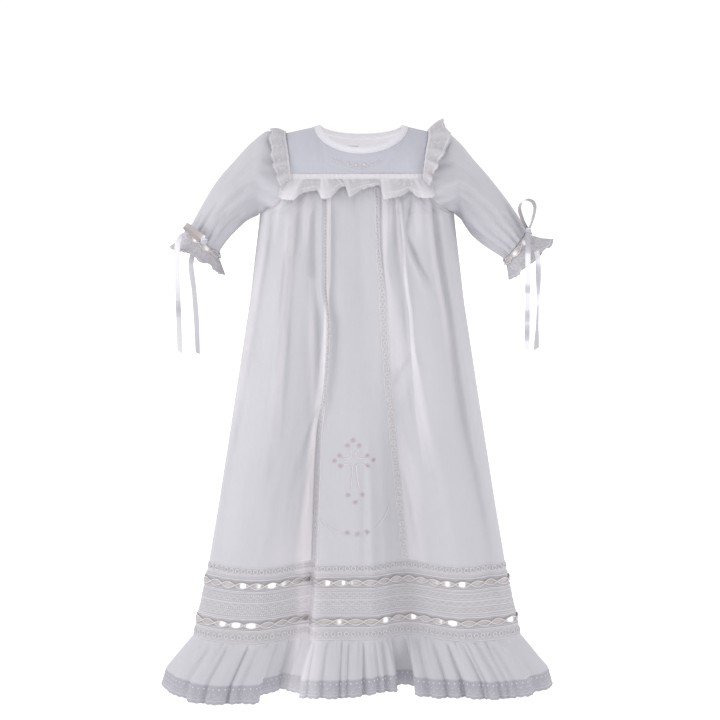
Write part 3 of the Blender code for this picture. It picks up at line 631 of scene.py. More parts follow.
class Wire:
    """A value socket on which sums can be written."""

    def __init__(self, kit, socket):
        self.kit, self.socket = kit, socket

    def math(self, operation, *others):
        return self.kit.wire("ShaderNodeMath", {"operation": operation}, dict(enumerate((self, *others))))

    def __add__(self, other):
        return self.math("ADD", other)

    def __sub__(self, other):
        return self.math("SUBTRACT", other)

    def __mul__(self, other):
        return self.math("MULTIPLY", other)

    def sin(self):
        return self.math("SINE")

    def size(self):
        return self.math("ABSOLUTE")

    def below(self, edge, blur):
        """1 where the value is well below the edge, softly 0 above it."""
        settings = {"interpolation_type": "SMOOTHSTEP", "clamp": True}
        span = {"From Min": edge - blur, "From Max": edge + blur, "To Min": 1.0, "To Max": 0.0}
        return self.kit.wire("ShaderNodeMapRange", settings, {"Value": self, **span})

    def wave(self, pitch):
        """Distance from the nearest of lines a pitch apart."""
        return self.math("PINGPONG", pitch / 2)

    def either(self, other):
        return self.math("MAXIMUM", other)

    def both(self, other):
        return self * other

    def near(self, place, half, blur=0.3):
        """1 within a half width of a place, softly 0 away from it."""
        return (self - place).size().below(half, blur)


class Finish(Kit):
    """A material: cloth coordinates in, one Principled shader out."""

    def __init__(self, name):
        self.made = bpy.data.materials.new(name)
        self.made.use_nodes = True
        super().__init__(self.made.node_tree)
        self.shader = self.tree.nodes["Principled BSDF"]

    def cut(self):
        """Millimetres along the cloth and down it."""
        uv = self.wire("ShaderNodeUVMap", {"uv_map": "cut"})
        parts = self.add("ShaderNodeSeparateXYZ", None, {"Vector": uv})
        return Wire(self, parts.outputs[0]), Wire(self, parts.outputs[1])

    def cut_vector(self, x, y):
        uv = self.wire("ShaderNodeUVMap", {"uv_map": "cut"})
        return self.wire("ShaderNodeMapping", None, {"Vector": uv, "Scale": (x, y, 1.0)})

    def place(self, scale):
        spot = self.wire("ShaderNodeTexCoord", None, None, out=3)
        return self.wire("ShaderNodeMapping", None, {"Vector": spot, "Scale": (scale,) * 3})

    def noise(self, vector, detail=2.0, rough=0.5):
        inputs = {"Vector": vector, "Scale": 1.0, "Detail": detail, "Roughness": rough}
        return self.wire("ShaderNodeTexNoise", None, inputs)

    def painted(self, label):
        return self.wire("ShaderNodeAttribute", {"attribute_name": label}, None, out=2)

    def mixed(self, share, a, b):
        return self.wire("ShaderNodeMix", {"data_type": "RGBA"}, {"Factor": share, 6: a, 7: b}, out=2)

    def glow(self, share, colour, strength):
        """A painted glow: emission that lifts the shade of the cloth where no lamp is."""
        self.fill(self.shader.inputs["Emission Color"], self.mixed(share, (0.0, 0.0, 0.0), colour))
        self.fill(self.shader.inputs["Emission Strength"], strength)

    def finish(self, colour, rough, height=None, depth=0.1, strength=0.4, alpha=1.0, **others):
        """Fills the shader in; others are its inputs by their small names."""
        inputs = {"Base Color": colour, "Roughness": rough, "Alpha": alpha}
        if height is not None:
            bump = {"Height": height, "Distance": depth * MM, "Strength": strength}
            inputs["Normal"] = self.wire("ShaderNodeBump", None, bump)
        for name, value in others.items():
            inputs[name.replace("_", " ").title().replace("Ior", "IOR")] = value
        for name, value in inputs.items():
            self.fill(self.shader.inputs[name], value)
        return self.made


def look(name, build):
    """The material of that name, built the first time it is asked for."""
    return bpy.data.materials.get(name) or build(Finish(name))


def shade(colour, by):
    return tuple(min(1.0, max(0.0, c * by)) for c in colour)


# the colour of the painted highlight on the front of the skirt
PAINTED_HIGHLIGHT_COLOUR = (0.625, 0.602, 0.635)
# the painted glow that lifts the shade of deep folds: its colour and strength
PAINTED_GLOW_COLOUR, PAINTED_GLOW_STRENGTH = (1.0, 0.96, 0.98), 0.25


def lawn(colour, name, glow=0.0):
    """Fine cotton lawn: plain weave, slubs, faint creasing and cloudy tone, with a
    painted highlight on the points painted pale and a painted glow in deep folds.

    glow is a painted glow on the faces painted "inside", which lifts their shade.
    """

    def build(f):
        u, v = f.cut()
        weave = (u * (tau / 0.9)).sin() * (v * (tau / 0.9)).sin() * 0.5 + 0.5
        slub = f.noise(f.cut_vector(0.02, 0.5), 3.0).both(f.noise(f.cut_vector(0.5, 0.02), 3.0))
        crease = f.noise(f.cut_vector(0.030, 0.012), 3.0, 0.55)
        tone = f.mixed(f.noise(f.place(14.0), 3.0), shade(colour, 0.965), shade(colour, 1.02))
        tone = f.mixed(slub * 0.5, tone, shade(colour, 1.06))
        # painted highlight: the points painted pale take a lighter colour
        pale = f.painted("pale")
        tone = f.mixed(pale * 0.85, tone, PAINTED_HIGHLIGHT_COLOUR)
        height = crease * 8.0 + weave * 0.14 + slub * 0.3
        if glow:
            f.glow(f.painted("inside"), (1.0, 0.97, 0.98), glow)
        else:
            # painted glow on the pale points and in the deep folds
            f.glow(pale * 0.2 + f.painted("painted_glow"), PAINTED_GLOW_COLOUR, PAINTED_GLOW_STRENGTH)
        return f.finish(tone, 0.92, height, 1.0, 0.5, specular_ior_level=0.25, sheen_weight=0.12)

    return look(name, build)


def hex_net(u, v, pitch, thread):
    """Threads of a diamond net with a cell every pitch millimetres."""
    one = (u + v * 0.6).wave(pitch)
    two = (u - v * 0.6).wave(pitch)
    return one.below(thread, thread * 0.6).either(two.below(thread, thread * 0.6))


def lace_finish(f, colour, solid_part, net, hole_painted_shade, hole_alpha):
    """Thread where the motif or the net runs, and thin cloth between.

    The thin cloth has the colour times hole_painted_shade, a painted shade for the shaded inside seen through
    the net, and lets light through.
    """
    threads = solid_part.either(net * 0.75)
    cloud = f.noise(f.place(20.0))
    base = f.mixed(cloud, shade(colour, 0.95), shade(colour, 1.04))
    # painted shade in the thin cloth between the threads
    tone = f.mixed(threads, shade(colour, hole_painted_shade), base)
    alpha = threads * (1 - hole_alpha) + hole_alpha
    # painted glow that lifts the shade of the deep folds
    f.glow(f.painted("painted_glow"), PAINTED_GLOW_COLOUR, PAINTED_GLOW_STRENGTH)
    return f.finish(tone, 0.95, threads, 0.5, 0.5, alpha, specular_ior_level=0.2, sheen_weight=0.1)


def satin_finish(colour, name):
    """Satin ribbon: fine cross threads, with painted shade in its turns and a painted highlight and glint on
    its crowns, after its painted shine.
    """

    def build(f):
        u, _ = f.cut()
        shine = f.painted("shine")
        streak = f.noise(f.cut_vector(0.05, 1.2))
        # painted shade where the shine is low, painted highlight and near-white painted glint where it is
        # high
        tone = f.mixed(shine, shade(colour, 0.72), shade(colour, 1.12))
        tone = f.mixed((shine - 0.55) * 2.4, tone, (0.96, 0.95, 0.95))
        rough = streak * 0.14 + 0.24
        height = streak * 0.16 + (u * (tau / 0.5)).sin() * 0.02
        gloss = {"specular_ior_level": 0.6, "coat_weight": 0.15, "coat_roughness": 0.25}
        return f.finish(tone, rough, height, 1.0, 0.35, **gloss)

    return look(name, build)


def thread_finish(colour, name):
    """Stranded embroidery cotton."""

    def build(f):
        slow = f.noise(f.place(160.0))
        fine = f.noise(f.place(1400.0), 1.0)
        tone = f.mixed(slow, shade(colour, 0.90), shade(colour, 1.06))
        return f.finish(tone, 0.72, fine, 0.2, 0.5, specular_ior_level=0.35, sheen_weight=0.2)

    return look(name, build)


def pearl_finish(colour, name):
    def build(f):
        swirl = f.noise(f.place(220.0), 4.0, 0.6)
        tone = f.mixed(swirl, shade(colour, 0.9), shade(colour, 1.06))
        return f.finish(tone, swirl * 0.1 + 0.16, swirl, 0.1, 0.2, coat_weight=0.6, coat_roughness=0.1)

    return look(name, build)


# ---- geometry nodes


def new_tree(name, sizes):
    tree = bpy.data.node_groups.new(name, "GeometryNodeTree")
    face = tree.interface
    face.new_socket(name="Geometry", in_out="INPUT", socket_type="NodeSocketGeometry")
    for label, value in sizes.items():
        socket = face.new_socket(name=label, in_out="INPUT", socket_type="NodeSocketFloat")
        socket.default_value = value
    face.new_socket(name="Geometry", in_out="OUTPUT", socket_type="NodeSocketGeometry")
    kit = Kit(tree)
    return kit, kit.add("NodeGroupInput"), kit.add("NodeGroupOutput")


def close_tree(kit, geometry, skin, out):
    flat = kit.add("GeometryNodeRealizeInstances", None, {0: geometry})
    even = kit.add("GeometryNodeSetShadeSmooth", None, {"Geometry": flat.outputs[0], "Shade Smooth": True})
    painted = kit.add("GeometryNodeSetMaterial", None, {"Geometry": even.outputs[0], "Material": skin})
    kit.tree.links.new(painted.outputs[0], out.inputs[0])
    return kit.tree


def circle(kit, sides, radius):
    inputs = {"Resolution": sides, "Radius": radius}
    return kit.add("GeometryNodeCurvePrimitiveCircle", {"mode": "RADIUS"}, inputs).outputs[0]


def swept(kit, line, section, caps=False):
    inputs = {"Curve": line, "Profile Curve": section, "Fill Caps": caps}
    return kit.add("GeometryNodeCurveToMesh", None, inputs).outputs[0]


def cord_tree(skin, radius, sides):
    """A round thread along every line of the mesh it is put on."""
    kit, start, out = new_tree("thread along lines", {"Radius": radius * MM})
    line = kit.add("GeometryNodeMeshToCurve", None, {"Mesh": start.outputs[0]})
    return close_tree(kit, swept(kit, line.outputs[0], circle(kit, sides, start.outputs[1]), True), skin, out)


# how fine each rounded shape is, and how it is stretched
BLOBS = {"petal": (2, (1.0, 0.55, 0.4)), "bead": (1, (1.0, 1.0, 0.6))}


def scatter_tree(skin, shape, size, thread):
    """One small shape on every point, turned to face out of the cloth."""
    kit, start, out = new_tree(f"{shape} on points", {"Size": size * MM, "Thread": thread * MM})
    if shape == "ring":
        piece = swept(kit, circle(kit, 12, start.outputs[1]), circle(kit, 4, start.outputs[2]))
    else:
        finer, stretch = BLOBS[shape]
        ball = kit.add("GeometryNodeMeshIcoSphere", None, {"Radius": start.outputs[1], "Subdivisions": finer})
        inputs = {"Geometry": ball.outputs[0], "Scale": stretch}
        piece = kit.add("GeometryNodeTransform", None, inputs).outputs[0]
    facing, way, scale = (
        kit.add("GeometryNodeInputNamedAttribute", {"data_type": "FLOAT_VECTOR"}, {"Name": label}).outputs[0]
        for label in ("facing", "way", "size")
    )
    axes = {"primary_axis": "Z", "secondary_axis": "X"}
    turn = kit.add("FunctionNodeAxesToRotation", axes, {0: facing, 1: way})
    inputs = {"Points": start.outputs[0], "Instance": piece, "Rotation": turn.outputs[0], "Scale": scale}
    spread = kit.add("GeometryNodeInstanceOnPoints", None, inputs)
    return close_tree(kit, spread.outputs[0], skin, out)


def grown(name, base, tree, sizes, skin):
    """The mesh that a tree makes of a base mesh, as a plain piece."""
    holder = put(name + ".base", base)
    modifier = holder.modifiers.new("grow", "NODES")
    modifier.node_group = tree
    for item in tree.interface.items_tree:
        if item.in_out == "INPUT" and item.name in sizes:
            modifier[item.identifier] = sizes[item.name] * MM
    seen = holder.evaluated_get(bpy.context.evaluated_depsgraph_get())
    mesh = bpy.data.meshes.new_from_object(seen)
    holder.modifiers.remove(modifier)
    bpy.data.objects.remove(holder)
    if not len(mesh.polygons):
        raise RuntimeError(f"{name} came out empty")
    mesh.name = name
    return link(name, mesh, skin)


def sewn(name, lines, radius, skin, sides=5, closed=False):
    """Threads or cords along lists of points, all of one piece."""
    points, edges = [], []
    for line in lines:
        base, count = len(points), len(line)
        points += [tuple(p) for p in np.asarray(line, float) * MM]
        edges += [(base + k, base + k + 1) for k in range(count - 1)]
        if closed:
            edges.append((base + count - 1, base))
    mesh = bpy.data.meshes.new(name + ".lines")
    mesh.from_pydata(points, edges, [])
    return grown(name, mesh, cord_tree(skin, radius, sides), {"Radius": radius}, skin)


def dotted(name, rows, shape, size, thread, skin, slot):
    """Rings, beads or petals on points: (point, facing, way, scale) each."""
    mesh = bpy.data.meshes.new(name + ".points")
    mesh.from_pydata([tuple(np.asarray(r[0], float) * MM) for r in rows], [], [])
    for k, label in ((1, "facing"), (2, "way"), (3, "size")):
        data = mesh.attributes.new(label, "FLOAT_VECTOR", "POINT").data
        data.foreach_set("vector", np.array([r[k] for r in rows], float).ravel())
    tree = scatter_tree(skin, shape, size, thread)
    return grown(name, mesh, tree, {"Size": size, "Thread": thread}, skin)


# ---- user's sizes
class GownColours(bpy.types.PropertyGroup):
    """Colours of the cloths and threads."""

    lawn: FloatVectorProperty(
        name="Lawn", description="Cotton lawn of the skirt", subtype="COLOR", default=(0.464, 0.454, 0.490))
    sleeve: FloatVectorProperty(
        name="Sleeve lawn", description="Cotton lawn of the sleeves, a little warmer", subtype="COLOR",
        default=(0.452, 0.444, 0.482))
    yoke: FloatVectorProperty(
        name="Yoke", description="Doubled lawn of the yoke", subtype="COLOR", default=(0.428, 0.430, 0.486))
    lace: FloatVectorProperty(
        name="Lace", description="Cotton lace and net", subtype="COLOR", default=(0.515, 0.496, 0.530))
    # the darker colour of the hem net is painted shade: the shaded inside seen through the net
    hem: FloatVectorProperty(
        name="Hem net", description="Darker net lace of the hem", subtype="COLOR",
        default=(0.425, 0.416, 0.465))
    satin: FloatVectorProperty(
        name="Ribbon", description="Satin ribbon", subtype="COLOR", default=(0.460, 0.415, 0.415))
    tails: FloatVectorProperty(
        name="Bow ribbon", description="Satin ribbon of the bows and tails", subtype="COLOR",
        default=(0.550, 0.540, 0.600))
    white: FloatVectorProperty(
        name="White thread", description="White embroidery cotton", subtype="COLOR",
        default=(0.630, 0.612, 0.640))
    petal: FloatVectorProperty(
        name="Petal thread", description="Pinkish grey thread of the daisies", subtype="COLOR",
        default=(0.475, 0.420, 0.445))
    pink: FloatVectorProperty(
        name="Pink thread", description="Pale pink of the rosebuds", subtype="COLOR",
        default=(0.640, 0.525, 0.550))
    cream: FloatVectorProperty(
        name="Cream thread", description="Cream of the vine sprays", subtype="COLOR",
        default=(0.600, 0.560, 0.575))
    pearl: FloatVectorProperty(
        name="Pearl", description="Buttons of the back", subtype="COLOR", default=(0.830, 0.810, 0.780))


class GownSizes(bpy.types.PropertyGroup):
    """Sizes that change how full and how fine the gown is."""

    fold: FloatProperty(
        name="Fold depth", description="Share of the depth of every fold", default=1.0, min=0.0, max=1.3)
    thick: FloatProperty(
        name="Cloth thickness", description="Thickness of the lawn in millimetres", default=0.8,
        min=0.3, max=1.2)
    lace_thick: FloatProperty(
        name="Lace thickness", description="Thickness of the lace in millimetres", default=0.5,
        min=0.3, max=1.0)
    ribbon: FloatProperty(
        name="Ribbon width", description="Width of every ribbon in millimetres", default=7.5,
        min=5.0, max=9.0)
    eyelet: FloatProperty(
        name="Eyelet pitch", description="Length of one ribbon eyelet in millimetres", default=22.0,
        min=15.0, max=30.0)
    ring: FloatProperty(
        name="Lace ring pitch", description="Distance between the rings of the lace in millimetres",
        default=10.0, min=7.0, max=14.0)


def settings(context):
    """The user's colours and sizes."""
    return context.scene.gown_colours, context.scene.gown_sizes


# ---- skirt
def columns_of_front(side, panel, strip, centre):
    """Columns of the front as (panel name, columns), sharing their edges."""
    outer = np.linspace(1.0, FLAT_U, side + 1)
    inner = np.linspace(FLAT_U, STRIP_U[1], panel + 1)[1:]
    flank = np.concatenate([outer, inner])
    band = np.linspace(STRIP_U[1], STRIP_U[0], strip + 1)
    middle = np.linspace(-STRIP_U[0], STRIP_U[0], centre + 1)
    return (
        ("side_front_right", -flank), ("lace_strip_right", -band), ("centre_front_panel", middle),
        ("lace_strip_left", band[::-1]), ("side_front_left", flank[::-1]),
    )


def back_columns(side, middle):
    outer = np.linspace(1.0, FLAT_U, side + 1)[:-1]
    inner = np.linspace(FLAT_U, -FLAT_U, middle + 1)
    return np.concatenate([outer, inner, -outer[::-1]])


def spread(values, count):
    """One row for each value, the same all along it."""
    return np.repeat(np.asarray(values, float)[:, None], count, axis=1)


def share_of(u):
    """Where column u lies across the body, as a share of the half width."""
    return np.where(np.abs(u) > FLAT_U, turned(u), u / FLAT_U * FLAT_SHARE)


def front_sheet(columns, heights):
    """Plain points of the front, before its folds."""
    x = np.array([[front_x(u, z) for u in columns] for z in heights])
    z = spread(heights, len(columns))
    return np.stack([x, front_y(x, z), z], -1)


def back_sheet(columns, heights):
    z = spread(heights, len(columns))
    x = share_of(columns)[None, :] * cut_width(heights)[:, None]
    return np.stack([x, back_y(x, z), z], -1)


def folded(grid, folds, way, size, seed):
    """The cloth with its folds: way is -1 for the front and 1 for the back."""
    x, z = grid[..., 0], grid[..., 2]
    inside = edge_share(np.clip(x / cut_width(z), -1, 1)) ** 0.5
    height = fold_height(folds, x, z)
    height = height + 0.7 * ripple(x / 26.0, z / 75.0, seed) + 0.25 * ripple(x / 9.0, z / 40.0, seed + 1)
    settle = ease(BAND_BOTTOM - 4, BAND_BOTTOM + 40, z)
    seam = ease(YOKE_SEAM, YOKE_SEAM - 10, z) * 0.5 + 0.5
    grid = grid.copy()
    grid[..., 1] += way * height * inside * size * settle * seam
    return grid


def side_normals(grid, heights, way):
    """The ways out of the cloth, straight sideways at the side seams."""
    out = normals(grid, False)
    below = heights <= UNDERARM
    out[below, 0], out[below, -1] = (way, 0, 0), (-way, 0, 0)
    return out


def front_folds():
    return {**FRONT_FOLDS, **gather_folds("front", GATHERED_HALF)}


def back_folds():
    return {**BACK_FOLDS, **gather_folds("back", GATHERED_HALF)}


SKIRT_HEIGHTS = np.concatenate([np.linspace(YOKE_SEAM, -240, 66)[:-1], np.linspace(-240, BAND_TOP, 95)])


STRIP_RING = 2.9
STRIP_RING_THREAD = 0.62
STRIP_RING_PITCH = 9.4


class GOWN_OT_skirt(bpy.types.Operator):
    """Makes the skirt: centre and side panels, two lace strips and the back"""

    bl_idname = "gown.skirt"
    bl_label = "Skirt panels"

    def execute(self, context):
        colours, sizes = settings(context)
        cotton = (lawn(colours.lawn, "lawn"), "cotton", sizes.thick)
        lace = (strip_lace(colours.lace), "lace", sizes.lace_thick)
        panels = columns_of_front(24, 56, 8, 72)
        every = np.concatenate([u if k == 0 else u[1:] for k, (_, u) in enumerate(panels)])
        grid = folded(front_sheet(every, SKIRT_HEIGHTS), front_folds(), -1, sizes.fold, FRONT_SEED)
        # painted highlight on the front panels, where the light catches the folds
        pale = np.clip(fold_height(FRONT_PAINTED_HIGHLIGHTS, grid[..., 0], grid[..., 2], 5), 0, 1.4)
        out = side_normals(grid, SKIRT_HEIGHTS, -1)
        start, strips = 0, []
        for name, u in panels:
            cut = slice(start, start + len(u))
            start += len(u) - 1
            strip = name.startswith("lace")
            piece = cloth(name, grid[:, cut], *(lace if strip else cotton), out=out[:, cut])
            # painted glow that lifts the shade in the deep folds
            paint(piece, "painted_glow", painted_glow_share(grid[:, cut]))
            if strip:
                strips.append(grid[:, cut])
            else:
                paint(piece, "pale", pale[:, cut])
        self.strip_threads(strips, thread_finish(colours.white, "lace thread"))
        heights = np.append(SKIRT_HEIGHTS[:-1:2], BAND_TOP)
        plain = back_sheet(back_columns(24, 104), heights)
        grid = folded(plain, back_folds(), 1, sizes.fold * BACK_FOLD_DEPTH, BACK_SEED)
        piece = cloth("back_skirt", grid, *cotton, out=side_normals(grid, heights, 1))
        return {"FINISHED"}

    def strip_threads(self, strips, white):
        """The ring chain down each strip, with a firm thread at its edges."""
        rings, edges = [], []
        for grid in strips:
            out = normals(grid, False)
            middle = grid.shape[1] // 2
            drop = travelled(grid[:, middle])
            rows = np.arange(len(drop))
            for along in np.arange(5.0, drop[-1] - 3.0, STRIP_RING_PITCH):
                row = np.interp(along, drop, rows)
                near = min(int(row), len(rows) - 2)
                spot = grid[near, middle] + (grid[near + 1, middle] - grid[near, middle]) * (row - near)
                across = grid[near, -1] - grid[near, 0]
                half = np.linalg.norm(across) / 2
                facing = out[near, middle] * (1 if out[near, middle][1] < 0 else -1)
                narrow = min(1.0, half / (STRIP_RING + 1.4))
                rings.append((spot + facing * 0.5, facing, across / (2 * half), (narrow, 1.12, 1.0)))
            for column in (0, -1):
                side = out[:, column] * np.where(out[:, column, 1] < 0, 1, -1)[:, None]
                inner = grid[:, 1 if column == 0 else -2] - grid[:, column]
                edges.append(grid[:, column] + inner * 0.45 + side * 0.45)
        dotted("strip_ring_chains", rings, "ring", STRIP_RING, STRIP_RING_THREAD, white, "lace")
        sewn("strip_edge_threads", edges, 0.45, white, 5)


def strip_lace(colour):
    """Narrow insertion: a net ground between two firm dotted edges."""

    def build(f):
        u, v = f.cut()
        reach = u.size()
        dots = reach.near(3.9, 0.55).both(v.wave(2.2).below(0.6, 0.3))
        firm = reach.near(4.9, 0.55, 0.25).either(dots)
        return lace_finish(f, colour, firm, hex_net(u, v, 1.5, 0.20), 0.96, 1.0)

    return look("strip lace", build)


# ---- stage
CAMERA = (4.3, -2600.0, 50.0)
AIM_Z = -340.0
LENS = 91.3
FLOOR_DROP = 330.0
FLOOR_REACH = 14.0
# light of the studio walls in front of, beside and behind the gown
WORLD_FRONT, WORLD_SIDE, WORLD_BACK = 0.85, 1.40, 1.08
FLOOR_GLOW = 0.45
# name, place, aim (metres), size (metres), power (watts)
LAMPS = (
    ("left softbox", (-2.3, -0.9, 0.5), (0.0, 0.0, -0.35), 0.9, 19.0),
    ("right softbox", (2.3, -0.9, 0.3), (0.0, 0.0, -0.4), 0.9, 8.5),
    ("key", (-0.9, -2.5, 1.3), (0.0, 0.0, -0.35), 0.35, 5.0),
)


def aimed(name, data, spot, aim):
    """A lamp or camera at a spot, turned to look at another one."""
    holder = put(name, data)
    holder.location = spot
    holder.rotation_euler = (aim - spot).to_track_quat("-Z", "Y").to_euler()
    return holder


def paper(f):
    tone = f.mixed(f.noise(f.place(3.0)), (0.90,) * 3, (0.92,) * 3)
    glow = {"emission_color": (1.0,) * 3, "emission_strength": FLOOR_GLOW}
    return f.finish(tone, 0.9, specular_ior_level=0.0, **glow)


class GOWN_OT_stage(bpy.types.Operator):
    """Sets the pale floor, the soft light and the camera"""

    bl_idname = "gown.stage"
    bl_label = "Stage"

    def execute(self, context):
        scene = context.scene
        mesh = bpy.data.meshes.new("floor")
        level = (HEM - FLOOR_DROP) * MM
        corners = [(x * FLOOR_REACH, y * FLOOR_REACH, level) for x, y in ((-1, -1), (1, -1), (1, 1), (-1, 1))]
        mesh.from_pydata(corners, [], [(0, 1, 2, 3)])
        mesh.materials.append(look("pale floor", paper))
        put("floor", mesh)
        world = bpy.data.worlds.new("white studio")
        world.use_nodes = True
        kit = Kit(world.node_tree)
        way = kit.add("ShaderNodeSeparateXYZ", None, {"Vector": kit.wire("ShaderNodeTexCoord")})
        x, y = Wire(kit, way.outputs[0]), Wire(kit, way.outputs[1])
        light = (WORLD_FRONT,) * 3
        sideways, behind = x.size() * x.size() * x.size(), (y + 0.10) * 3.0
        for share, tone in ((sideways, WORLD_SIDE), (behind, WORLD_BACK)):
            inputs = {"Factor": share, 6: light, 7: (tone,) * 3}
            light = kit.wire("ShaderNodeMix", {"data_type": "RGBA"}, inputs, out=2)
        kit.fill(world.node_tree.nodes["Background"].inputs["Color"], light)
        scene.world = world
        for name, spot, aim, size, power in LAMPS:
            lamp = bpy.data.lights.new(name, "AREA")
            lamp.size, lamp.energy = size, power
            aimed(name, lamp, Vector(spot), Vector(aim))
        camera = bpy.data.cameras.new("camera")
        camera.lens, camera.sensor_width = LENS, 36.0
        scene.camera = aimed("camera", camera, Vector(CAMERA) * MM, Vector((CAMERA[0], 0.0, AIM_Z)) * MM)
        scene.view_settings.view_transform = "Standard"
        return {"FINISHED"}


# ---- rings round the skirt
RING_FRONT = 300
RING_BACK = 220


def ring_half(u, heights, depth_of):
    """Plain points of the front or the back of rings, and their shares."""
    share = share_of(u)
    z = spread(heights, len(u))
    x = share[None, :] * full_width(heights)[:, None]
    return share, np.stack([x, depth_of(x, z), z], -1)


def ring_columns(front, back):
    return np.linspace(-1, 1, front + 1), np.linspace(1, -1, back + 1)[1:-1]


def ring_sheet(heights, size):
    """Rings round the body: the front left to right, then the back."""
    front, back = ring_columns(RING_FRONT, RING_BACK)
    return np.concatenate([
        folded(ring_half(front, heights, front_y)[1], front_folds(), -1, size, FRONT_SEED),
        folded(ring_half(back, heights, back_y)[1], back_folds(), 1, size, BACK_SEED),
    ], axis=1)


class Skin:
    """A grid of cloth that can be asked for places on it."""

    def __init__(self, grid, way=1):
        self.grid = np.asarray(grid, float)
        self.out = normals(self.grid, True) * way
        self.along = travelled(round_line(self.grid, True))
        self.long = self.along[-1]

    def at(self, along, row, lift=0.0):
        """Point, outward direction and running direction at a place.

        along is in millimetres round the middle row, row a share from the
        top edge to the bottom one.
        """
        rows, columns = self.grid.shape[:2]
        c = float(np.interp(along % self.long, self.along, np.arange(len(self.along))))
        r = min(max(row, 0.0), 1.0) * (rows - 1)
        c0, r0 = min(int(c), columns - 1), min(int(r), rows - 2)
        c1 = (c0 + 1) % columns
        s, t = c - c0, r - r0

        def blend(field):
            top = field[r0, c0] * (1 - s) + field[r0, c1] * s
            low = field[r0 + 1, c0] * (1 - s) + field[r0 + 1, c1] * s
            return top * (1 - t) + low * t

        facing = blend(self.out)
        facing = facing / np.linalg.norm(facing)
        way = self.grid[r0, c1] - self.grid[r0, c0]
        return blend(self.grid) + facing * lift, facing, way / np.linalg.norm(way)


class Band:
    """The lace band as one skin, asked for by height."""

    def __init__(self, size):
        self.skin = Skin(ring_sheet(np.linspace(BAND_TOP, BAND_BOTTOM, 46), size))

    def at(self, along, z, lift=0.0):
        return self.skin.at(along, (z - BAND_TOP) / (BAND_BOTTOM - BAND_TOP), lift)

    def line(self, z, lift, count, wobble, waves):
        """A wavy line round the band."""
        rises = [wobble * sin(tau * waves * k / count) for k in range(count)]
        return [self.at(self.skin.long * k / count, z + rise, lift)[0] for k, rise in enumerate(rises)]

    def dots(self, z, pitch, lift, scale):
        count = round(self.skin.long / pitch)
        step = self.skin.long / count
        return [(*self.at(k * step, z, lift), scale) for k in range(count)]


# band laces: firm lines as depth and half width, then rows of dots as depth,
# pitch and half width
BAND_LACES = {
    "insertion lace": (
        ((0.9, 0.5), (12.2, 0.5), (2.6, 0.3), (10.6, 0.3)), ((1.9, 2.2, 0.5), (11.4, 2.2, 0.5))),
    "beading lace": (
        ((0.7, 0.5), (5.6, 0.5), (23.2, 0.5), (18.6, 0.35)), ((3.2, 2.6, 0.7), (21.0, 2.6, 0.6))),
    "lower beading lace": (
        ((0.7, 0.5), (3.6, 0.35), (16.2, 0.35), (19.2, 0.5)), ((2.2, 2.6, 0.5), (17.8, 2.6, 0.5))),
    "net lace": (
        ((0.8, 0.5), (15.6, 0.7), (16.8, 0.3), (26.8, 0.4), (37.2, 0.5)),
        ((4.6, 3.3, 0.9), (12.2, 3.3, 0.8), (23.6, 3.3, 0.9), (33.6, 3.3, 0.9))),
    "lower insertion lace": (
        ((0.9, 0.5), (4.6, 0.3), (12.4, 0.3), (16.2, 0.6)), ((2.6, 2.2, 0.5), (14.2, 2.2, 0.6))),
}
# wavy lines of the net lace: depth, swing, pitch
NET_WAVES = ((8.4, 1.4, 9.9), (20.2, 1.8, 13.2), (30.0, 1.4, 9.9))


def band_lace(f, colour, name):
    """Band laces: net, rows of dots and firm lines at set depths."""
    u, v = f.cut()
    depth = v * -1.0
    lines, dots = BAND_LACES[name]
    parts = [depth.near(place, half) for place, half in lines]
    parts += [depth.near(place, half).both(u.wave(pitch).below(half, 0.3)) for place, pitch, half in dots]
    if name == "net lace":
        for place, swing, pitch in NET_WAVES:
            parts.append((depth - place - (u * (tau / pitch)).sin() * swing).size().below(0.55, 0.3))
    return lace_finish(f, colour, reduce(Wire.either, parts), hex_net(u, v, 1.65, 0.24), 0.80, 0.80)


BAND_PIECES = (
    ("insertion_upper", BAND_TOP, -642.5, "insertion lace"),
    ("beading_upper", -642.5, -667.0, "beading lace"),
    ("net_insertion", -667.0, -705.0, "net lace"),
    ("beading_lower", -705.0, -724.8, "lower beading lace"),
    ("insertion_lower", -724.8, BAND_BOTTOM, "lower insertion lace"),
)
# painted glints along each ribbon: x and reach
GLINTS = {
    "threaded_ribbon_upper": ((-162, 5), (-124, 19), (-37, 9), (-14, 8), (127, 12), (150, 6)),
    "threaded_ribbon_lower": ((-169, 27), (-27, 6), (43, 9), (86, 7), (134, 14), (220, 6)),
}
RIBBON_LINES = (("threaded_ribbon_upper", -657.0, 7), ("threaded_ribbon_lower", -715.0, 8))
RING_LINES = (-636.4, -733.4)
RING_SIZE = (2.9, 0.55)
PICOT_LINES = (-648.6, -665.6, -706.4, -723.4)
NET_DOTS = ((-671.6, 0.85), (-679.2, 0.75), (-690.6, 0.85), (-700.6, 0.85))
EYELET_SWING = 4.3
EYELET_STEPS = 16
RIBBON_LIFT = 1.3


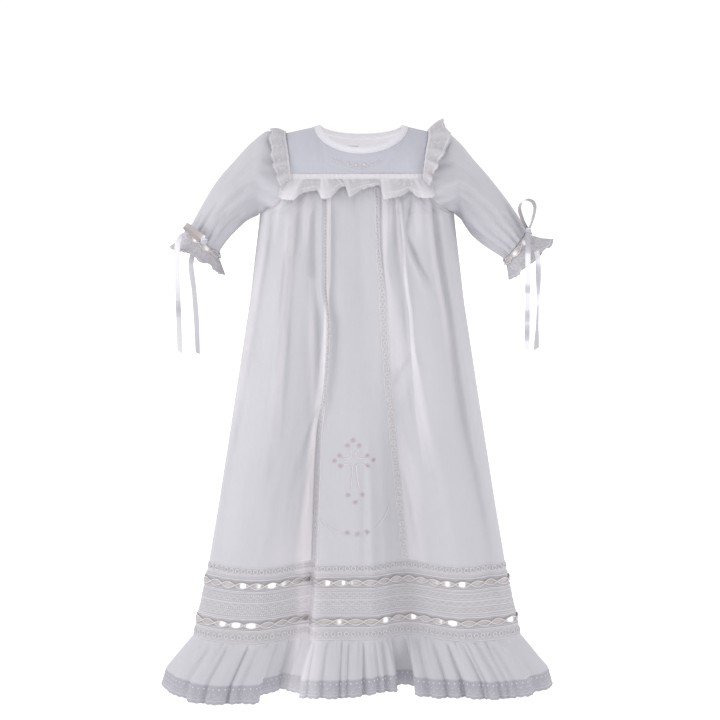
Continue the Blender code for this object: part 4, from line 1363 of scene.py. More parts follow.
class GOWN_OT_band(bpy.types.Operator):
    """Makes the five laces of the band, their rings, picots and eyelets"""

    bl_idname = "gown.band"
    bl_label = "Lace band"

    def execute(self, context):
        colours, sizes = settings(context)
        white = thread_finish(colours.white, "lace thread")
        band = Band(sizes.fold)
        long = band.skin.long
        pieces = {}
        for name, top, low, finish in BAND_PIECES:
            grid = ring_sheet(np.linspace(top, low, max(4, round((top - low) / 3.0)) + 1), sizes.fold)
            skin = look(finish, lambda f: band_lace(f, colours.lace, finish))
            pieces[name] = cloth(name, grid, skin, "lace", sizes.lace_thick, closed=True, pitch=19.8)
            # painted glow that lifts the shade in the deep folds of the band
            paint(pieces[name], "painted_glow", painted_glow_share(grid))
        rings = [dot for z in RING_LINES for dot in band.dots(z, sizes.ring * 0.93, 0.55, (1.0, 1.08, 1.0))]
        chain = dotted("lace_ring_chains", rings, "ring", *RING_SIZE, white, "lace")
        knots = [dot for z, size in NET_DOTS for dot in band.dots(z, 3.3, 0.4, (size, size, size))]
        spots = dotted("net_dots", knots, "bead", 1.0, 0.0, white, "lace")
        picots = [band.line(z, 0.6, 900, 0.45, round(long / 3.1)) for z in PICOT_LINES]
        edges = sewn("picot_lines", picots, 0.62, white, 5, closed=True)
        bars = []
        steps = round(long / sizes.eyelet) * EYELET_STEPS
        for _, z, _ in RIBBON_LINES:
            for way in (1, -1):
                line = []
                for k in range(steps):
                    angle = pi * k / EYELET_STEPS
                    rise = EYELET_SWING * sin(angle) * way
                    lift = RIBBON_LIFT + 0.9 + 0.35 * way * cos(angle)
                    line.append(band.at(long * k / steps, z + rise, lift)[0])
                bars.append(line)
        eyelets = sewn("eyelet_threads", bars, 0.65, white, 5, closed=True)
        return {"FINISHED"}


class GOWN_OT_ribbons(bpy.types.Operator):
    """Threads the two satin ribbons through the eyelets of the band"""

    bl_idname = "gown.ribbons"
    bl_label = "Threaded ribbons"

    def execute(self, context):
        colours, sizes = settings(context)
        skin = satin_finish(colours.satin, "threaded satin")
        band = Band(sizes.fold)
        for name, z, seed in RIBBON_LINES:
            rng = np.random.default_rng(seed)
            count = round(band.skin.long / sizes.eyelet)
            steps, rows = 14, 7
            tilts, swells = rng.uniform(-1.0, 1.0, count), rng.uniform(0.5, 1.3, count)
            grid = np.zeros((rows, count * steps, 3))
            shine = np.zeros((rows, count * steps))
            # painted highlight on the crown of each eyelet, a random level for each
            painted_shine_levels = rng.uniform(0.15, 0.5, count)
            for k in range(count * steps):
                eyelet, part = divmod(k, steps)
                arch = sin(pi * part / steps)
                shine[:, k] = painted_shine_levels[eyelet] * arch ** 1.5
                half = sizes.ribbon / 2 * (0.62 + 0.38 * arch ** 0.7)
                for row in range(rows):
                    down = -1 + 2 * row / (rows - 1)
                    swell = swells[eyelet] * arch * (1.25 - 0.75 * down * down)
                    tilt = tilts[eyelet] * 0.75 * down * arch
                    lift = RIBBON_LIFT + 0.5 * swell + tilt * 0.5
                    grid[row, k] = band.at(band.skin.long * k / (count * steps), z - down * half, lift)[0]
            # painted glints along the ribbon's bright runs
            for x, reach in GLINTS[name]:
                shine += 0.85 * np.exp(-((grid[..., 0] - x) / reach) ** 4) * np.clip(shine * 4, 0, 1)
            paint(cloth(name, grid, skin, "satin", 0.35, closed=True), "shine", np.clip(shine, 0, 1))
        return {"FINISHED"}


# ---- flounce
# folds of the flounce: share of the half width, height at the gathers and
# at the hem, and reach in millimetres; troughs are negative
FLOUNCE_FOLDS = (
    (-0.93, -1.0, 3.0, 7), (-0.866, -2.0, -5.0, 5), (-0.82, 0.5, 2.5, 7), (-0.763, -2.0, -5.0, 4),
    (-0.70, 1.0, 3.0, 8), (-0.643, -2.5, -6.5, 3.2), (-0.583, -1.5, -3.0, 5), (-0.52, 1.0, 4.0, 8),
    (-0.468, -2.0, -6.0, 4), (-0.42, 1.0, 2.0, 6), (-0.381, -2.0, -4.0, 4), (-0.34, 1.0, 3.0, 5),
    (-0.294, -2.0, -5.0, 3.2), (-0.272, 1.5, 4.0, 4), (-0.256, -1.0, -3.0, 3), (-0.21, 1.0, 2.5, 7),
    (-0.18, -1.5, -4.0, 4), (-0.13, 0.5, 2.0, 7), (-0.087, -1.5, -4.5, 3.4), (-0.049, -1.5, -3.0, 3),
    (-0.01, 1.0, 2.0, 7), (0.038, -2.0, -5.5, 3.2), (0.07, 0.5, 2.0, 5), (0.109, -1.5, -4.0, 3.6),
    (0.153, -2.0, -5.0, 3.4), (0.185, 1.0, 4.0, 5), (0.223, -2.5, -6.0, 4.5), (0.278, -1.5, -5.0, 4.5),
    (0.315, 1.5, 4.0, 6), (0.36, -1.5, -4.0, 5), (0.405, 0.5, 2.5, 8), (0.452, -2.0, -5.0, 4),
    (0.50, 0.5, 2.5, 7), (0.534, -2.0, -5.0, 3.6), (0.585, 0.5, 3.0, 8), (0.632, -2.0, -5.5, 3.2),
    (0.659, -1.5, -3.5, 3), (0.69, 0.5, 2.5, 5), (0.719, -1.5, -4.0, 4), (0.763, -1.5, -4.0, 4),
    (0.806, -1.5, -4.0, 5), (0.86, 1.0, 3.0, 7), (0.91, -1.5, -4.0, 6), (0.96, 0.5, 2.0, 6),
)
# how many folds at the back, how deep, seed
BACK_FLOUNCE = (26, 5.0, 44)
# how many gathers, how deep, how far down they run, seed
FLOUNCE_GATHERS = (150, 1.9, 17.0, 45)
FLOUNCE_COLUMNS = (420, 300)
# how much deeper the flounce's folds are than its table says
FLOUNCE_DEPTH = 1.35


def back_flounce_folds():
    count, depth, seed = BACK_FLOUNCE
    rng = np.random.default_rng(seed)
    folds = []
    for k in range(count):
        share = -0.95 + 1.9 * (k + rng.uniform(0.25, 0.75)) / count
        deep = depth * rng.uniform(0.6, 1.2) * (-1 if k % 2 else 0.7)
        folds.append((share, deep * 0.4, deep, rng.uniform(3.5, 7.5)))
    return folds


def flounce_gathers():
    count, depth, run, seed = FLOUNCE_GATHERS
    rng = np.random.default_rng(seed)
    gathers = []
    for k in range(count):
        share = -1 + 2 * (k + rng.uniform(0.15, 0.85)) / count
        gathers.append((share, depth * rng.uniform(0.3, 1.3), run * rng.uniform(0.5, 2.0)))
    return gathers


def flounce_sheet(heights, size, scallop=0.0):
    """Rings of the flounce and its lace edge, gathered at the band."""
    front, back = ring_columns(*FLOUNCE_COLUMNS)
    gathers = flounce_gathers()
    grids, rises = [], []
    for u, depth_of, folds in ((front, front_y, FLOUNCE_FOLDS), (back, back_y, back_flounce_folds())):
        share, grid = ring_half(u, heights, depth_of)
        x, z = grid[..., 0], grid[..., 2]
        part = np.clip((BAND_BOTTOM - z) / (BAND_BOTTOM - HEM), 0, 1)
        width = full_width(z)
        total = np.zeros_like(z)
        for place, high, low, reach in folds:
            t = (share[None, :] - place) * width / (reach * (0.5 + 0.5 * part))
            total += FLOUNCE_DEPTH * (high * (1 - part) + low * part) * np.exp(-t * t) * ease(0.0, 0.12, part)
        for place, deep, run in gathers:
            fade = np.exp(-((BAND_BOTTOM - z) / run) ** 2) * ease(0.0, 0.03, part)
            t = (share[None, :] - place) * width / 2.0
            total -= deep * fade * np.exp(-t * t)
        grids.append(grid)
        rises.append((total + ripple(x / 13.0, z / 30.0, 51) * part) * size)
    joined = np.concatenate(grids, axis=1)
    out = normals(joined, True)
    out[..., 2] *= 0.3
    joined = joined + out * np.concatenate(rises, axis=1)[..., None]
    if scallop:
        along = np.linalg.norm(np.diff(np.vstack([joined[-1], joined[-1][:1]]), axis=0), axis=1)
        place = np.concatenate([[0], np.cumsum(along)[:-1]])
        waves = round(along.sum() / 11.0)
        dip = np.abs(np.sin(pi * waves * place / along.sum())) ** 0.7
        joined[-1, :, 2] += scallop * (0.35 - dip)
        joined[-2, :, 2] += scallop * 0.4 * (0.35 - dip)
    return joined


def hem_net(colour):
    """Cotton net edging: darker ground, woven sprigs and a firm border."""

    def build(f):
        u, v = f.cut()
        depth = v * -1.0
        border = depth.near(21.6, 0.8, 0.4).either(depth.near(0.8, 0.6))
        sprig = f.noise(f.cut_vector(0.22, 0.22)).below(0.42, 0.02)
        bloom = sprig.both(depth.near(14.0, 4.0, 0.8)) * 0.7
        waves = (depth - 18.0 - (u * (tau / 11.0)).sin() * 1.3).size().below(0.5, 0.3)
        firm = border.either(bloom).either(waves)
        return lace_finish(f, colour, firm, hex_net(u, v, 1.7, 0.24), 0.80, 0.82)

    return look("hem net", build)


GATHERS_END = -756.0


class GOWN_OT_flounce(bpy.types.Operator):
    """Makes the gathered flounce and the net lace along its edge"""

    bl_idname = "gown.flounce"
    bl_label = "Flounce and hem lace"

    def execute(self, context):
        colours, sizes = settings(context)
        white = thread_finish(colours.white, "lace thread")
        gathered = np.linspace(BAND_BOTTOM, GATHERS_END, 10)[:-1]
        heights = np.concatenate([gathered, np.linspace(GATHERS_END, FLOUNCE_EDGE, 16)])
        grid = flounce_sheet(heights, sizes.fold)
        flounce = cloth("flounce", grid, lawn(colours.lawn, "lawn"), "cotton", sizes.thick, closed=True)
        # painted glow that lifts the shade in the deep folds of the flounce and hem lace
        paint(flounce, "painted_glow", painted_glow_share(grid))
        grid = flounce_sheet(np.linspace(FLOUNCE_EDGE, HEM + 1.4, 8), sizes.fold, 1.8)
        lace = cloth("hem_lace", grid, hem_net(colours.hem), "lace", sizes.lace_thick, closed=True)
        paint(lace, "painted_glow", painted_glow_share(grid))
        skin = Skin(grid)
        count = round(skin.long / 9.0)
        rows = [
            (*skin.at(skin.long * (k + shift) / count, down, 0.45), scale)
            for shift, down, scale in ((0, 0.22, (1.0, 1.0, 1.0)), (0.5, 0.48, (0.55, 0.55, 0.7)))
            for k in range(count)
        ]
        spots = dotted("hem_dots", rows, "bead", 1.25, 0.0, white, "lace")
        edge = [skin.at(skin.long * k / 1400, 0.99, 0.2)[0] for k in range(1400)]
        border = sewn("hem_edge_thread", [edge], 0.55, white, 5, closed=True)
        return {"FINISHED"}


# ---- bows, tails
# x, y, z, turn in degrees
TAILS = {
    "tail_right_outer": (
        (-251.0, -53, -171, 5), (-251.5, -55, -210, -12), (-250.5, -54, -265, 14), (-249.5, -53, -321, 0)),
    "tail_right_inner": (
        (-231.5, -61, -196, 20), (-227.5, -60, -235, -25), (-225.0, -58, -280, 20),
        (-224.0, -57, -322, 40)),
    "tail_left_inner": (
        (239.8, -44, -155, 5), (238.8, -56, -175, 10), (238.6, -61, -210, -10), (238.8, -60, -265, 8),
        (238.8, -59, -317, 0)),
    "tail_left_outer": (
        (253.5, -56, -192, -15), (253.8, -59, -235, 40), (253.2, -57, -280, 55), (252.5, -56, -316, 0)),
}
# the short run of each tail from its knot, before its free length
TAIL_STARTS = {
    "tail_right_outer": ((-240.0, -36.0, -156.0), (-246.5, -46.0, -159.0)),
    "tail_right_inner": ((-228.0, -34.0, -172.0), (-230.5, -48.0, -184.0)),
    "tail_left_inner": ((240.5, -40.0, -151.0),),
    "tail_left_outer": ((249.5, -36.0, -172.0), (252.5, -48.0, -182.0)),
}
TAIL_SLANT = {
    "tail_right_outer": 5.0, "tail_right_inner": 3.0, "tail_left_inner": 6.5, "tail_left_outer": -4.5,
}
LOOPS = {
    "bow_left_loop": (
        (240.5, -38.5, -150.0), (238.0, -37, -146.5), (231.0, -38, -132), (227.8, -38, -119),
        (230.5, -38, -111), (238.0, -38, -107), (246.0, -38, -110), (249.5, -38, -118),
        (247.5, -38, -131), (242.5, -37, -146.5), (240.7, -36.5, -150.0)),
    "bow_right_loop": (
        (-213.8, -50.8, -160.6), (-224.0, -52.0, -152.2), (-234.0, -52.0, -144.2),
        (-239.0, -50.6, -141.6), (-241.0, -48.4, -143.4), (-236.5, -47.2, -148.4),
        (-228.0, -47.0, -156.2), (-219.5, -47.0, -163.4)),
}
RIBBON_CUP = 0.35
# places across the width of each ribbon, from one edge to the other
RIBBON_ACROSS = np.linspace(-1, 1, 5)
# the left loop is the bow ribbon in a darker copy: painted shade
SHADED_LOOP_COLOUR = (0.400, 0.375, 0.405)
LOOP_SPAN = {"bow_left_loop": (0.62, 0.74, 0.26), "bow_right_loop": (0.61, 0.0, 0.79)}
KNOTS = {
    "bow_left_knot": ((240.5, -39, -150.5), (4.6, 4.4, 4.2)),
    "bow_right_knot": ((-213.5, -51.0, -164.5), (5.4, 4.4, 4.6)),
}


def along_path(points, count):
    """Evenly spread places on a smooth curve through a few points."""
    points = np.asarray(points, float)
    stops = travelled(points[:, :3])
    fine = np.linspace(0, stops[-1], count)
    return np.stack([bend(stops, points[:, k], fine) for k in range(points.shape[1])], -1)


def ribbon_grid(path, turns, width):
    """A flat ribbon along a path, turned a little and slightly cupped."""
    way = unit(np.gradient(path, axis=0))
    side = unit(np.cross(way, (0.0, -1.0, 0.0)))
    face = np.cross(side, way)
    turn = np.radians(turns)[:, None]
    reach = side * np.cos(turn) + face * np.sin(turn)
    up = np.cross(reach, way)
    lines = [path + reach * t * width / 2 + up * RIBBON_CUP * (1 - t * t) for t in RIBBON_ACROSS]
    return np.stack(lines, axis=1)


def puff(name, centre, size, skin, seed):
    """A small tight knot of ribbon with its wrapping creases."""
    rows, columns = 16, 28
    lean = np.random.default_rng(seed).uniform(-0.5, 0.5)
    points = [(0.0, 0.0, -0.92)]
    for a in np.linspace(-pi / 2, pi / 2, rows)[1:-1]:
        for b in np.linspace(0, tau, columns, endpoint=False):
            crease = 1 + 0.07 * sin(5 * b + lean * 4 * a) * cos(a)
            points.append((cos(a) ** 0.7 * cos(b) * crease, cos(a) ** 0.7 * sin(b) * crease, sin(a)))
    points.append((0.0, 0.0, 0.92))
    points = np.array(points) * np.array(size) + np.array(centre)
    faces = []
    top = 1 + (rows - 3) * columns
    for c in range(columns):
        e = (c + 1) % columns
        faces += [(0, 1 + e, 1 + c), (len(points) - 1, top + c, top + e)]
        for r in range(rows - 3):
            a, b = 1 + r * columns + c, 1 + r * columns + e
            faces.append((a, b, b + columns, a + columns))
    mesh = shaped(name, points, faces)
    spots = np.array([points[loop.vertex_index] for loop in mesh.loops])
    uvs = np.stack([spots[:, 0] + spots[:, 1], spots[:, 2]], -1)
    mesh.uv_layers.new(name="cut").data.foreach_set("uv", uvs.ravel())
    piece = link(name, mesh, skin)
    # painted highlight on the top of the knot, painted shade on the rest
    paint(piece, "shine", 0.15 + 0.5 * (points[:, 2] > centre[2] + size[2] * 0.4))


# painted highlight and shade along each ribbon: share of the length, shine
SHINES = {
    "tail_right_outer": (
        (0, 0.7), (0.2, 0.72), (0.45, 0.68), (0.58, 0.62), (0.66, 0.1), (0.72, 0.6), (1, 0.62)),
    "tail_right_inner": ((0, 0.3), (0.25, 0.55), (0.4, 0.2), (0.6, 0.3), (0.75, 0.5), (1, 0.35)),
    "tail_left_inner": (
        (0, 0.1), (0.14, 0.12), (0.22, 0.75), (0.45, 0.72), (0.5, 0.35), (0.54, 0.72), (0.66, 0.7),
        (0.72, 0.3), (0.78, 0.68), (0.86, 0.05), (0.93, 0.7), (1, 0.72)),
    "tail_left_outer": (
        (0, 0.68), (0.2, 0.72), (0.3, 0.3), (0.4, 0.1), (0.5, 0.65), (0.58, 0.7), (0.7, 0.05),
        (0.85, 0.1), (1, 0.3)),
    "bow_left_loop": (
        (0, 0.0), (0.2, 0.1), (0.36, 0.25), (0.44, 0.85), (0.52, 0.3), (0.7, 0.1), (1, 0.1)),
    "bow_right_loop": (
        (0, 0.9), (0.14, 0.2), (0.3, 0.1), (0.45, 0.2), (0.6, 0.05), (0.8, 0.15), (1, 0.1)),
}


def along_shine(count, stops):
    places, painted_shine_levels = zip(*stops)
    return spread(np.interp(np.linspace(0, 1, count), places, painted_shine_levels), len(RIBBON_ACROSS))


def ribbon_cord(path):
    line = path * MM


class GOWN_OT_bows(bpy.types.Operator):
    """Ties the ribbon bow at each cuff: one loop, a knot and two tails"""

    bl_idname = "gown.bows"
    bl_label = "Bows and tails"

    def execute(self, context):
        colours, sizes = settings(context)
        skin = satin_finish(shade(colours.tails, 0.93), "bow satin")
        for k, (name, (centre, size)) in enumerate(KNOTS.items()):
            puff(name, centre, size, skin, 60 + k)
        for name, rows in TAILS.items():
            start = [(*spot, rows[0][3]) for spot in TAIL_STARTS[name]]
            path = along_path(start + list(rows), 84)
            s = np.linspace(0, 1, len(path))
            turns = path[:, 3] + 9 * np.sin(s * 9 + len(name)) * s * (1 - s) * 3
            grid = ribbon_grid(path[:, :3], turns, sizes.ribbon - 0.3)
            slant = RIBBON_ACROSS * TAIL_SLANT[name] / 2
            grid[-1, :, 2] += slant
            grid[-2, :, 2] += slant * 0.5
            self.ribbon(name, grid, skin, path[:, :3], "bare", "hanging")
        loop_skins = {
            "bow_left_loop": satin_finish(SHADED_LOOP_COLOUR, "loop satin"),
            "bow_right_loop": satin_finish(colours.satin, "threaded satin"),
        }
        for name, rows in LOOPS.items():
            path = along_path(rows, 64)
            span = np.array(LOOP_SPAN[name]) * sizes.ribbon / 2
            grid = np.stack([path + span * t for t in RIBBON_ACROSS], axis=1)
            self.ribbon(name, grid, loop_skins[name], path, "object", "loose")
        return {"FINISHED"}

    def ribbon(self, name, grid, skin, path, far_end, lay):
        piece = cloth(name, grid, skin, "satin", 0.3)
        # painted highlight and shade along the ribbon
        paint(piece, "shine", along_shine(len(path), SHINES[name]))
        ribbon_cord(path)


# ---- yoke
NECK_PART = 0.56
YOKE_THICK = 1.0
BINDING_OVER = 1.5


def neck_edge(part, reach, drop, depth_of):
    angle = np.asarray(part, float) * pi / 2
    x = NECK_X + reach * np.sin(angle)
    z = SHOULDER_Z + SHOULDER_DROP * (NECK_OUTER - reach) - drop * np.cos(angle) ** 1.15
    return np.stack([x, depth_of(x, z), z], -1)


def yoke_sheet(depth_of, drop, across, count, size):
    """The yoke from its neck and shoulders down to the seam."""
    inner = np.abs(across) <= NECK_PART
    top = neck_edge(across / NECK_PART, NECK_OUTER, drop, depth_of)
    part = (np.abs(across) - NECK_PART) / (1 - NECK_PART)
    near = NECK_X + np.copysign(NECK_OUTER, across)
    x = near + (np.copysign(SHOULDER_TIP, across) - near) * part
    z = shoulder_z(x)
    shoulder = np.stack([x, depth_of(x, z), z], -1)
    top = np.where(inner[:, None], top, shoulder)
    rows = []
    for row in np.linspace(0, 1, count):
        t = 0.35 * (1 - sin((1 - row) * pi / 2)) + 0.65 * row
        low_x = across * (float(cut_width(YOKE_SEAM)) - 0.6)
        z = top[:, 2] + (YOKE_SEAM - top[:, 2]) * t
        x = top[:, 0] + (low_x - top[:, 0]) * t
        y = depth_of(x, z) + 0.5 * size * ripple(x / 24.0, z / 18.0, 71) * sin(pi * row)
        rows.append(np.stack([x, y, z], -1))
    return np.array(rows)


def paint_inside(piece):
    """Marks the inner of the two faces of a cloth."""
    half = len(piece.data.vertices) // 2
    paint(piece, "inside", np.concatenate([np.zeros(half), np.ones(half)]))


class GOWN_OT_yoke(bpy.types.Operator):
    """Makes the front yoke, the two back yokes and the neck binding"""

    bl_idname = "gown.yoke"
    bl_label = "Yoke and neck binding"

    def execute(self, context):
        colours, sizes = settings(context)
        across = np.linspace(-1, 1, 105)
        front = yoke_sheet(front_y, FRONT_NECK_DROP, across, 34, sizes.fold)
        # the lawns of the yoke, back yokes and binding have a painted glow on their inner faces, lifting the
        # shade inside the neck
        piece = cloth("front_yoke", front, lawn(colours.yoke, "yoke lawn", 0.4), "cotton", YOKE_THICK)
        paint_inside(piece)
        skin = lawn(shade(colours.yoke, 1.05), "back yoke lawn", 0.5)
        back = yoke_sheet(back_y, BACK_NECK_DROP, across, 34, sizes.fold)[:, ::-1]
        for name, cut in (("back_yoke_left", slice(0, 53)), ("back_yoke_right", slice(52, None))):
            piece = cloth(name, back[:, cut], skin, "cotton", YOKE_THICK, out=normals(back, False)[:, cut])
            paint_inside(piece)
        parts = np.linspace(-1, 1, 81)
        rings = []
        for t in np.linspace(0, 1, 7):
            reach = NECK_INNER + (NECK_OUTER + BINDING_OVER - NECK_INNER) * t
            front_drop = FRONT_NECK_DROP - FRONT_BINDING_DROP * (1 - t) + BINDING_OVER * t
            back_drop = BACK_NECK_DROP - BINDING_DROP * (1 - t) + BINDING_OVER * t
            fronts = neck_edge(parts, reach, front_drop, front_y)
            rings.append(np.concatenate([fronts, neck_edge(parts[-2:0:-1], reach, back_drop, back_y)]))
        rings = np.array(rings)
        out = normals(rings, True)
        crown = np.sin(np.linspace(0.15, 1, 7) * pi * 0.93) * 1.0
        around = np.linspace(0, tau, rings.shape[1], endpoint=False)
        pucker = 0.14 * np.sin(around * 46) + 0.1 * np.sin(around * 29 + 1)
        grid = rings + out * (crown[:, None] + pucker[None, :])[..., None]
        skin = lawn(shade(colours.lawn, 1.34), "binding lawn", 0.4)
        binding = cloth("neck_binding", grid, skin, "cotton", 1.5, closed=True, out=out)
        paint_inside(binding)
        white = thread_finish(colours.white, "lace thread")
        stitches = sewn("binding_seam", [grid[-2] + out[-2] * 0.9], 0.28, white, 4, closed=True)
        return {"FINISHED"}


# ---- back closing
PLACKET = (1.5, -14.5)
BUTTON_X = -7.0
BUTTON_RADIUS = 4.5
BUTTON_THICK = 2.4
BUTTON_SIDES = 40
BUTTON_HEIGHTS = {"back_button_upper": -40.0, "back_button_lower": -74.0}
BUTTON_PROFILE = (
    (0.0, 0.0), (0.85, 0.0), (0.97, 0.25), (1.0, 0.45), (1.0, 0.72), (0.95, 0.9), (0.86, 1.0), (0.74, 0.98),
    (0.64, 0.82), (0.5, 0.74), (0.0, 0.72))


class GOWN_OT_closing(bpy.types.Operator):
    """Makes the placket under the back opening and its two sewn buttons"""

    bl_idname = "gown.closing"
    bl_label = "Back placket and buttons"

    def execute(self, context):
        colours = context.scene.gown_colours
        heights = np.linspace(-34.0, YOKE_SEAM + 3.0, 26)
        z = spread(heights, 12)
        x = np.repeat(np.linspace(*PLACKET, 12)[None, :], len(heights), axis=0)
        grid = np.stack([x, back_y(x, z), z], -1)
        # the placket lawn has a painted glow on its inner face
        skin = lawn(shade(colours.lawn, 0.95), "placket lawn", 0.34)
        piece = cloth("back_placket", grid, skin, "cotton", 0.9, lift=-1.4)
        paint_inside(piece)
        pearl = pearl_finish(colours.pearl, "pearl")
        stitches = []
        for name, z in BUTTON_HEIGHTS.items():
            stitches += self.button(name, z, pearl)
        sewn("button_thread", stitches, 0.28, thread_finish(colours.white, "lace thread"), 5)
        return {"FINISHED"}

    def button(self, name, z, pearl):
        """A turned button on the placket; the two stitches that cross on it."""
        side = np.array((1.0, 0.0, 0.0))
        y = float(back_y(BUTTON_X, z))
        lean = atan2(float(back_y(BUTTON_X, z - 2) - back_y(BUTTON_X, z + 2)), 4.0)
        facing = np.array((0.0, cos(lean), sin(lean)))
        rise = np.cross(side, facing)
        centre = np.array((BUTTON_X, y, z)) + facing * 1.0
        points = [centre]
        for reach, height in BUTTON_PROFILE[1:-1]:
            for a in np.linspace(0, tau, BUTTON_SIDES, endpoint=False):
                level = centre + facing * height * BUTTON_THICK
                points.append(level + (side * cos(a) + rise * sin(a)) * BUTTON_RADIUS * reach)
        points.append(centre + facing * BUTTON_PROFILE[-1][1] * BUTTON_THICK)
        faces = []
        levels = len(BUTTON_PROFILE) - 3
        top = 1 + levels * BUTTON_SIDES
        for k in range(BUTTON_SIDES):
            e = (k + 1) % BUTTON_SIDES
            faces += [(0, 1 + k, 1 + e), (len(points) - 1, top + e, top + k)]
            for level in range(levels):
                a, b = 1 + level * BUTTON_SIDES + k, 1 + level * BUTTON_SIDES + e
                faces.append((a, a + BUTTON_SIDES, b + BUTTON_SIDES, b))
        link(name, shaped(name, points, faces), pearl)
        stitches = []
        for way in (1, -1):
            lifts = [(t, BUTTON_THICK * 0.74 + 0.3 - 0.9 * t ** 4) for t in np.linspace(-1, 1, 7)]
            stitches.append([centre + facing * h + side * t * 1.1 + rise * t * way * 1.1 for t, h in lifts])
        return stitches


# ---- sleeves
# x and z of the top line, x and z of the low line, half depth
SLEEVES = {
    "right": (
        (126, -13, 141, -131, 50), (148, -28, 149, -135, 48), (173, -55, 160, -142, 43),
        (197, -83, 173, -154, 38), (215, -111, 185, -167, 33), (229, -135, 193, -178, 28),
        (236, -146, 196, -183, 27)),
    "left": (
        (124, -13, 141, -131, 50), (144, -28, 146, -135, 48), (166, -54, 153, -145, 43),
        (190, -82, 163, -158, 38), (212, -110, 180, -173, 33), (230, -136, 201, -187, 28),
        (240, -150, 208, -192, 27)),
}
CUFFS = {
    "right": ((237, -147.5, 196.2, -184.3, 27), (243, -156, 195.5, -193, 27)),
    "left": ((240.7, -151, 208.6, -193.2, 27), (247, -159, 212.5, -201.5, 27)),
}
CUFF_LACE = {
    "right": (
        (243.3, -156.6, 195.5, -193.6, 27.5), (252, -167, 193, -204, 32), (263, -178, 191, -215, 38)),
    "left": (
        (247.4, -159.5, 212.8, -202.0, 27.5), (262, -165, 216, -211, 32), (277, -169, 219, -220, 38)),
}
CUFF_RISE = {"right": 15.0, "left": 3.0}
CUFF_WAVES = 6
CUFF_WAVE = 3.0
ARMHOLE_SEAM = 0.9
SLEEVE_FORWARD = -14.0
# creases of the sleeves: (share of the length, turn in degrees) along each
# one, 90 being the front, with its height and its reach in degrees
SLEEVE_FOLDS = {
    "right": (
        (((0.02, 150), (0.25, 128), (0.5, 120), (0.72, 112)), -3.4, 9),
        (((0.05, 118), (0.3, 98), (0.55, 92), (0.7, 90)), -2.6, 7),
        (((0.10, 100), (0.35, 82), (0.6, 74)), 2.4, 9),
        (((0.02, 74), (0.2, 66), (0.4, 64)), -2.4, 7),
        (((0.45, 138), (0.7, 130), (0.97, 128)), -3.2, 8),
        (((0.6, 104), (0.8, 100), (1.0, 98)), -3.0, 7),
        (((0.66, 68), (0.85, 66), (1.0, 64)), -2.6, 7),
        (((0.5, 152), (0.75, 150), (1.0, 148)), 2.4, 8),
        (((0.05, -100), (0.4, -110), (0.7, -108)), -3.4, 10),
        (((0.3, -70), (0.7, -80), (1.0, -78)), -3.0, 9),
        (((0.1, -140), (0.5, -140), (0.9, -136)), -3.0, 9),
    ),
    "left": (
        (((0.02, 148), (0.25, 124), (0.5, 112), (0.74, 104)), -3.8, 8),
        (((0.04, 122), (0.3, 96), (0.55, 82), (0.75, 76)), -3.2, 7),
        (((0.10, 106), (0.35, 84), (0.6, 70)), 2.6, 8),
        (((0.02, 80), (0.2, 70), (0.45, 58)), -2.6, 7),
        (((0.3, 140), (0.6, 128), (0.8, 122)), 2.4, 9),
        (((0.5, 150), (0.75, 142), (1.0, 138)), -3.4, 8),
        (((0.62, 118), (0.82, 112), (1.0, 110)), -3.0, 6),
        (((0.7, 86), (0.85, 84), (1.0, 84)), -3.2, 6),
        (((0.76, 60), (0.9, 58), (1.0, 58)), -2.6, 6),
        (((0.05, -96), (0.4, -108), (0.7, -112)), -3.4, 10),
        (((0.3, -66), (0.7, -76), (1.0, -80)), -3.0, 9),
        (((0.1, -138), (0.5, -142), (0.9, -134)), -3.0, 9),
    ),
}


def armhole_edge(angles, sign):
    front = np.sin(angles) >= 0
    high = shoulder_z(sign * SHOULDER_TIP) - 0.5
    z = high + (UNDERARM - high) * (1 - np.cos(angles)) / 2
    x = sign * smooth(ARMHOLE, 1, z)
    y = np.where(front, front_y(x, z), back_y(x, z))
    return np.stack([x + sign * ARMHOLE_SEAM, y, z], -1)


def oval_rings(table, sign, angles):
    rings = []
    for top_x, top_z, low_x, low_z, deep in table:
        top, low = np.array((sign * top_x, 0.0, top_z)), np.array((sign * low_x, 0.0, low_z))
        centre, reach = (top + low) / 2, (top - low) / 2
        centre[1] = SLEEVE_FORWARD * float(ease(140, 240, top_x))
        ahead = np.array((0.0, -deep, 0.0))
        rings.append(centre + reach * np.cos(angles)[:, None] + ahead * np.sin(angles)[:, None])
    return rings


def along_rings(rings, count):
    """Rings in between a few given ones, smoothly along the sleeve."""
    rings = np.array(rings)
    stops = travelled(rings.mean(axis=1))
    stops /= stops[-1]
    at = np.linspace(0, 1, count)
    flat = rings.reshape(len(rings), -1)
    return np.stack([bend(stops, flat[:, k], at) for k in range(flat.shape[1])], -1).reshape(count, -1, 3), at


def tube(name, grid, sign, skin, slot, thick, pitch=None):
    """A closed sleeve or cuff piece, faces outward on either side."""
    return cloth(name, grid[:, ::-1] if sign > 0 else grid, skin, slot, thick, closed=True, pitch=pitch)


def around_out(grid, sign):
    out = normals(grid, True)
    return -out if sign > 0 else out


# small gathers of a sleeve: how many, how deep, where they start and end
SLEEVE_GATHERS = ((26, 1.7, 0.0, 0.20), (24, 1.5, 1.0, 0.80))
CUFF_EYELETS = 9


def degrees_off(turn, middle):
    """How far round from a fold, between -180 and 180 degrees."""
    return (turn[None, :] - middle + 180) % 360 - 180


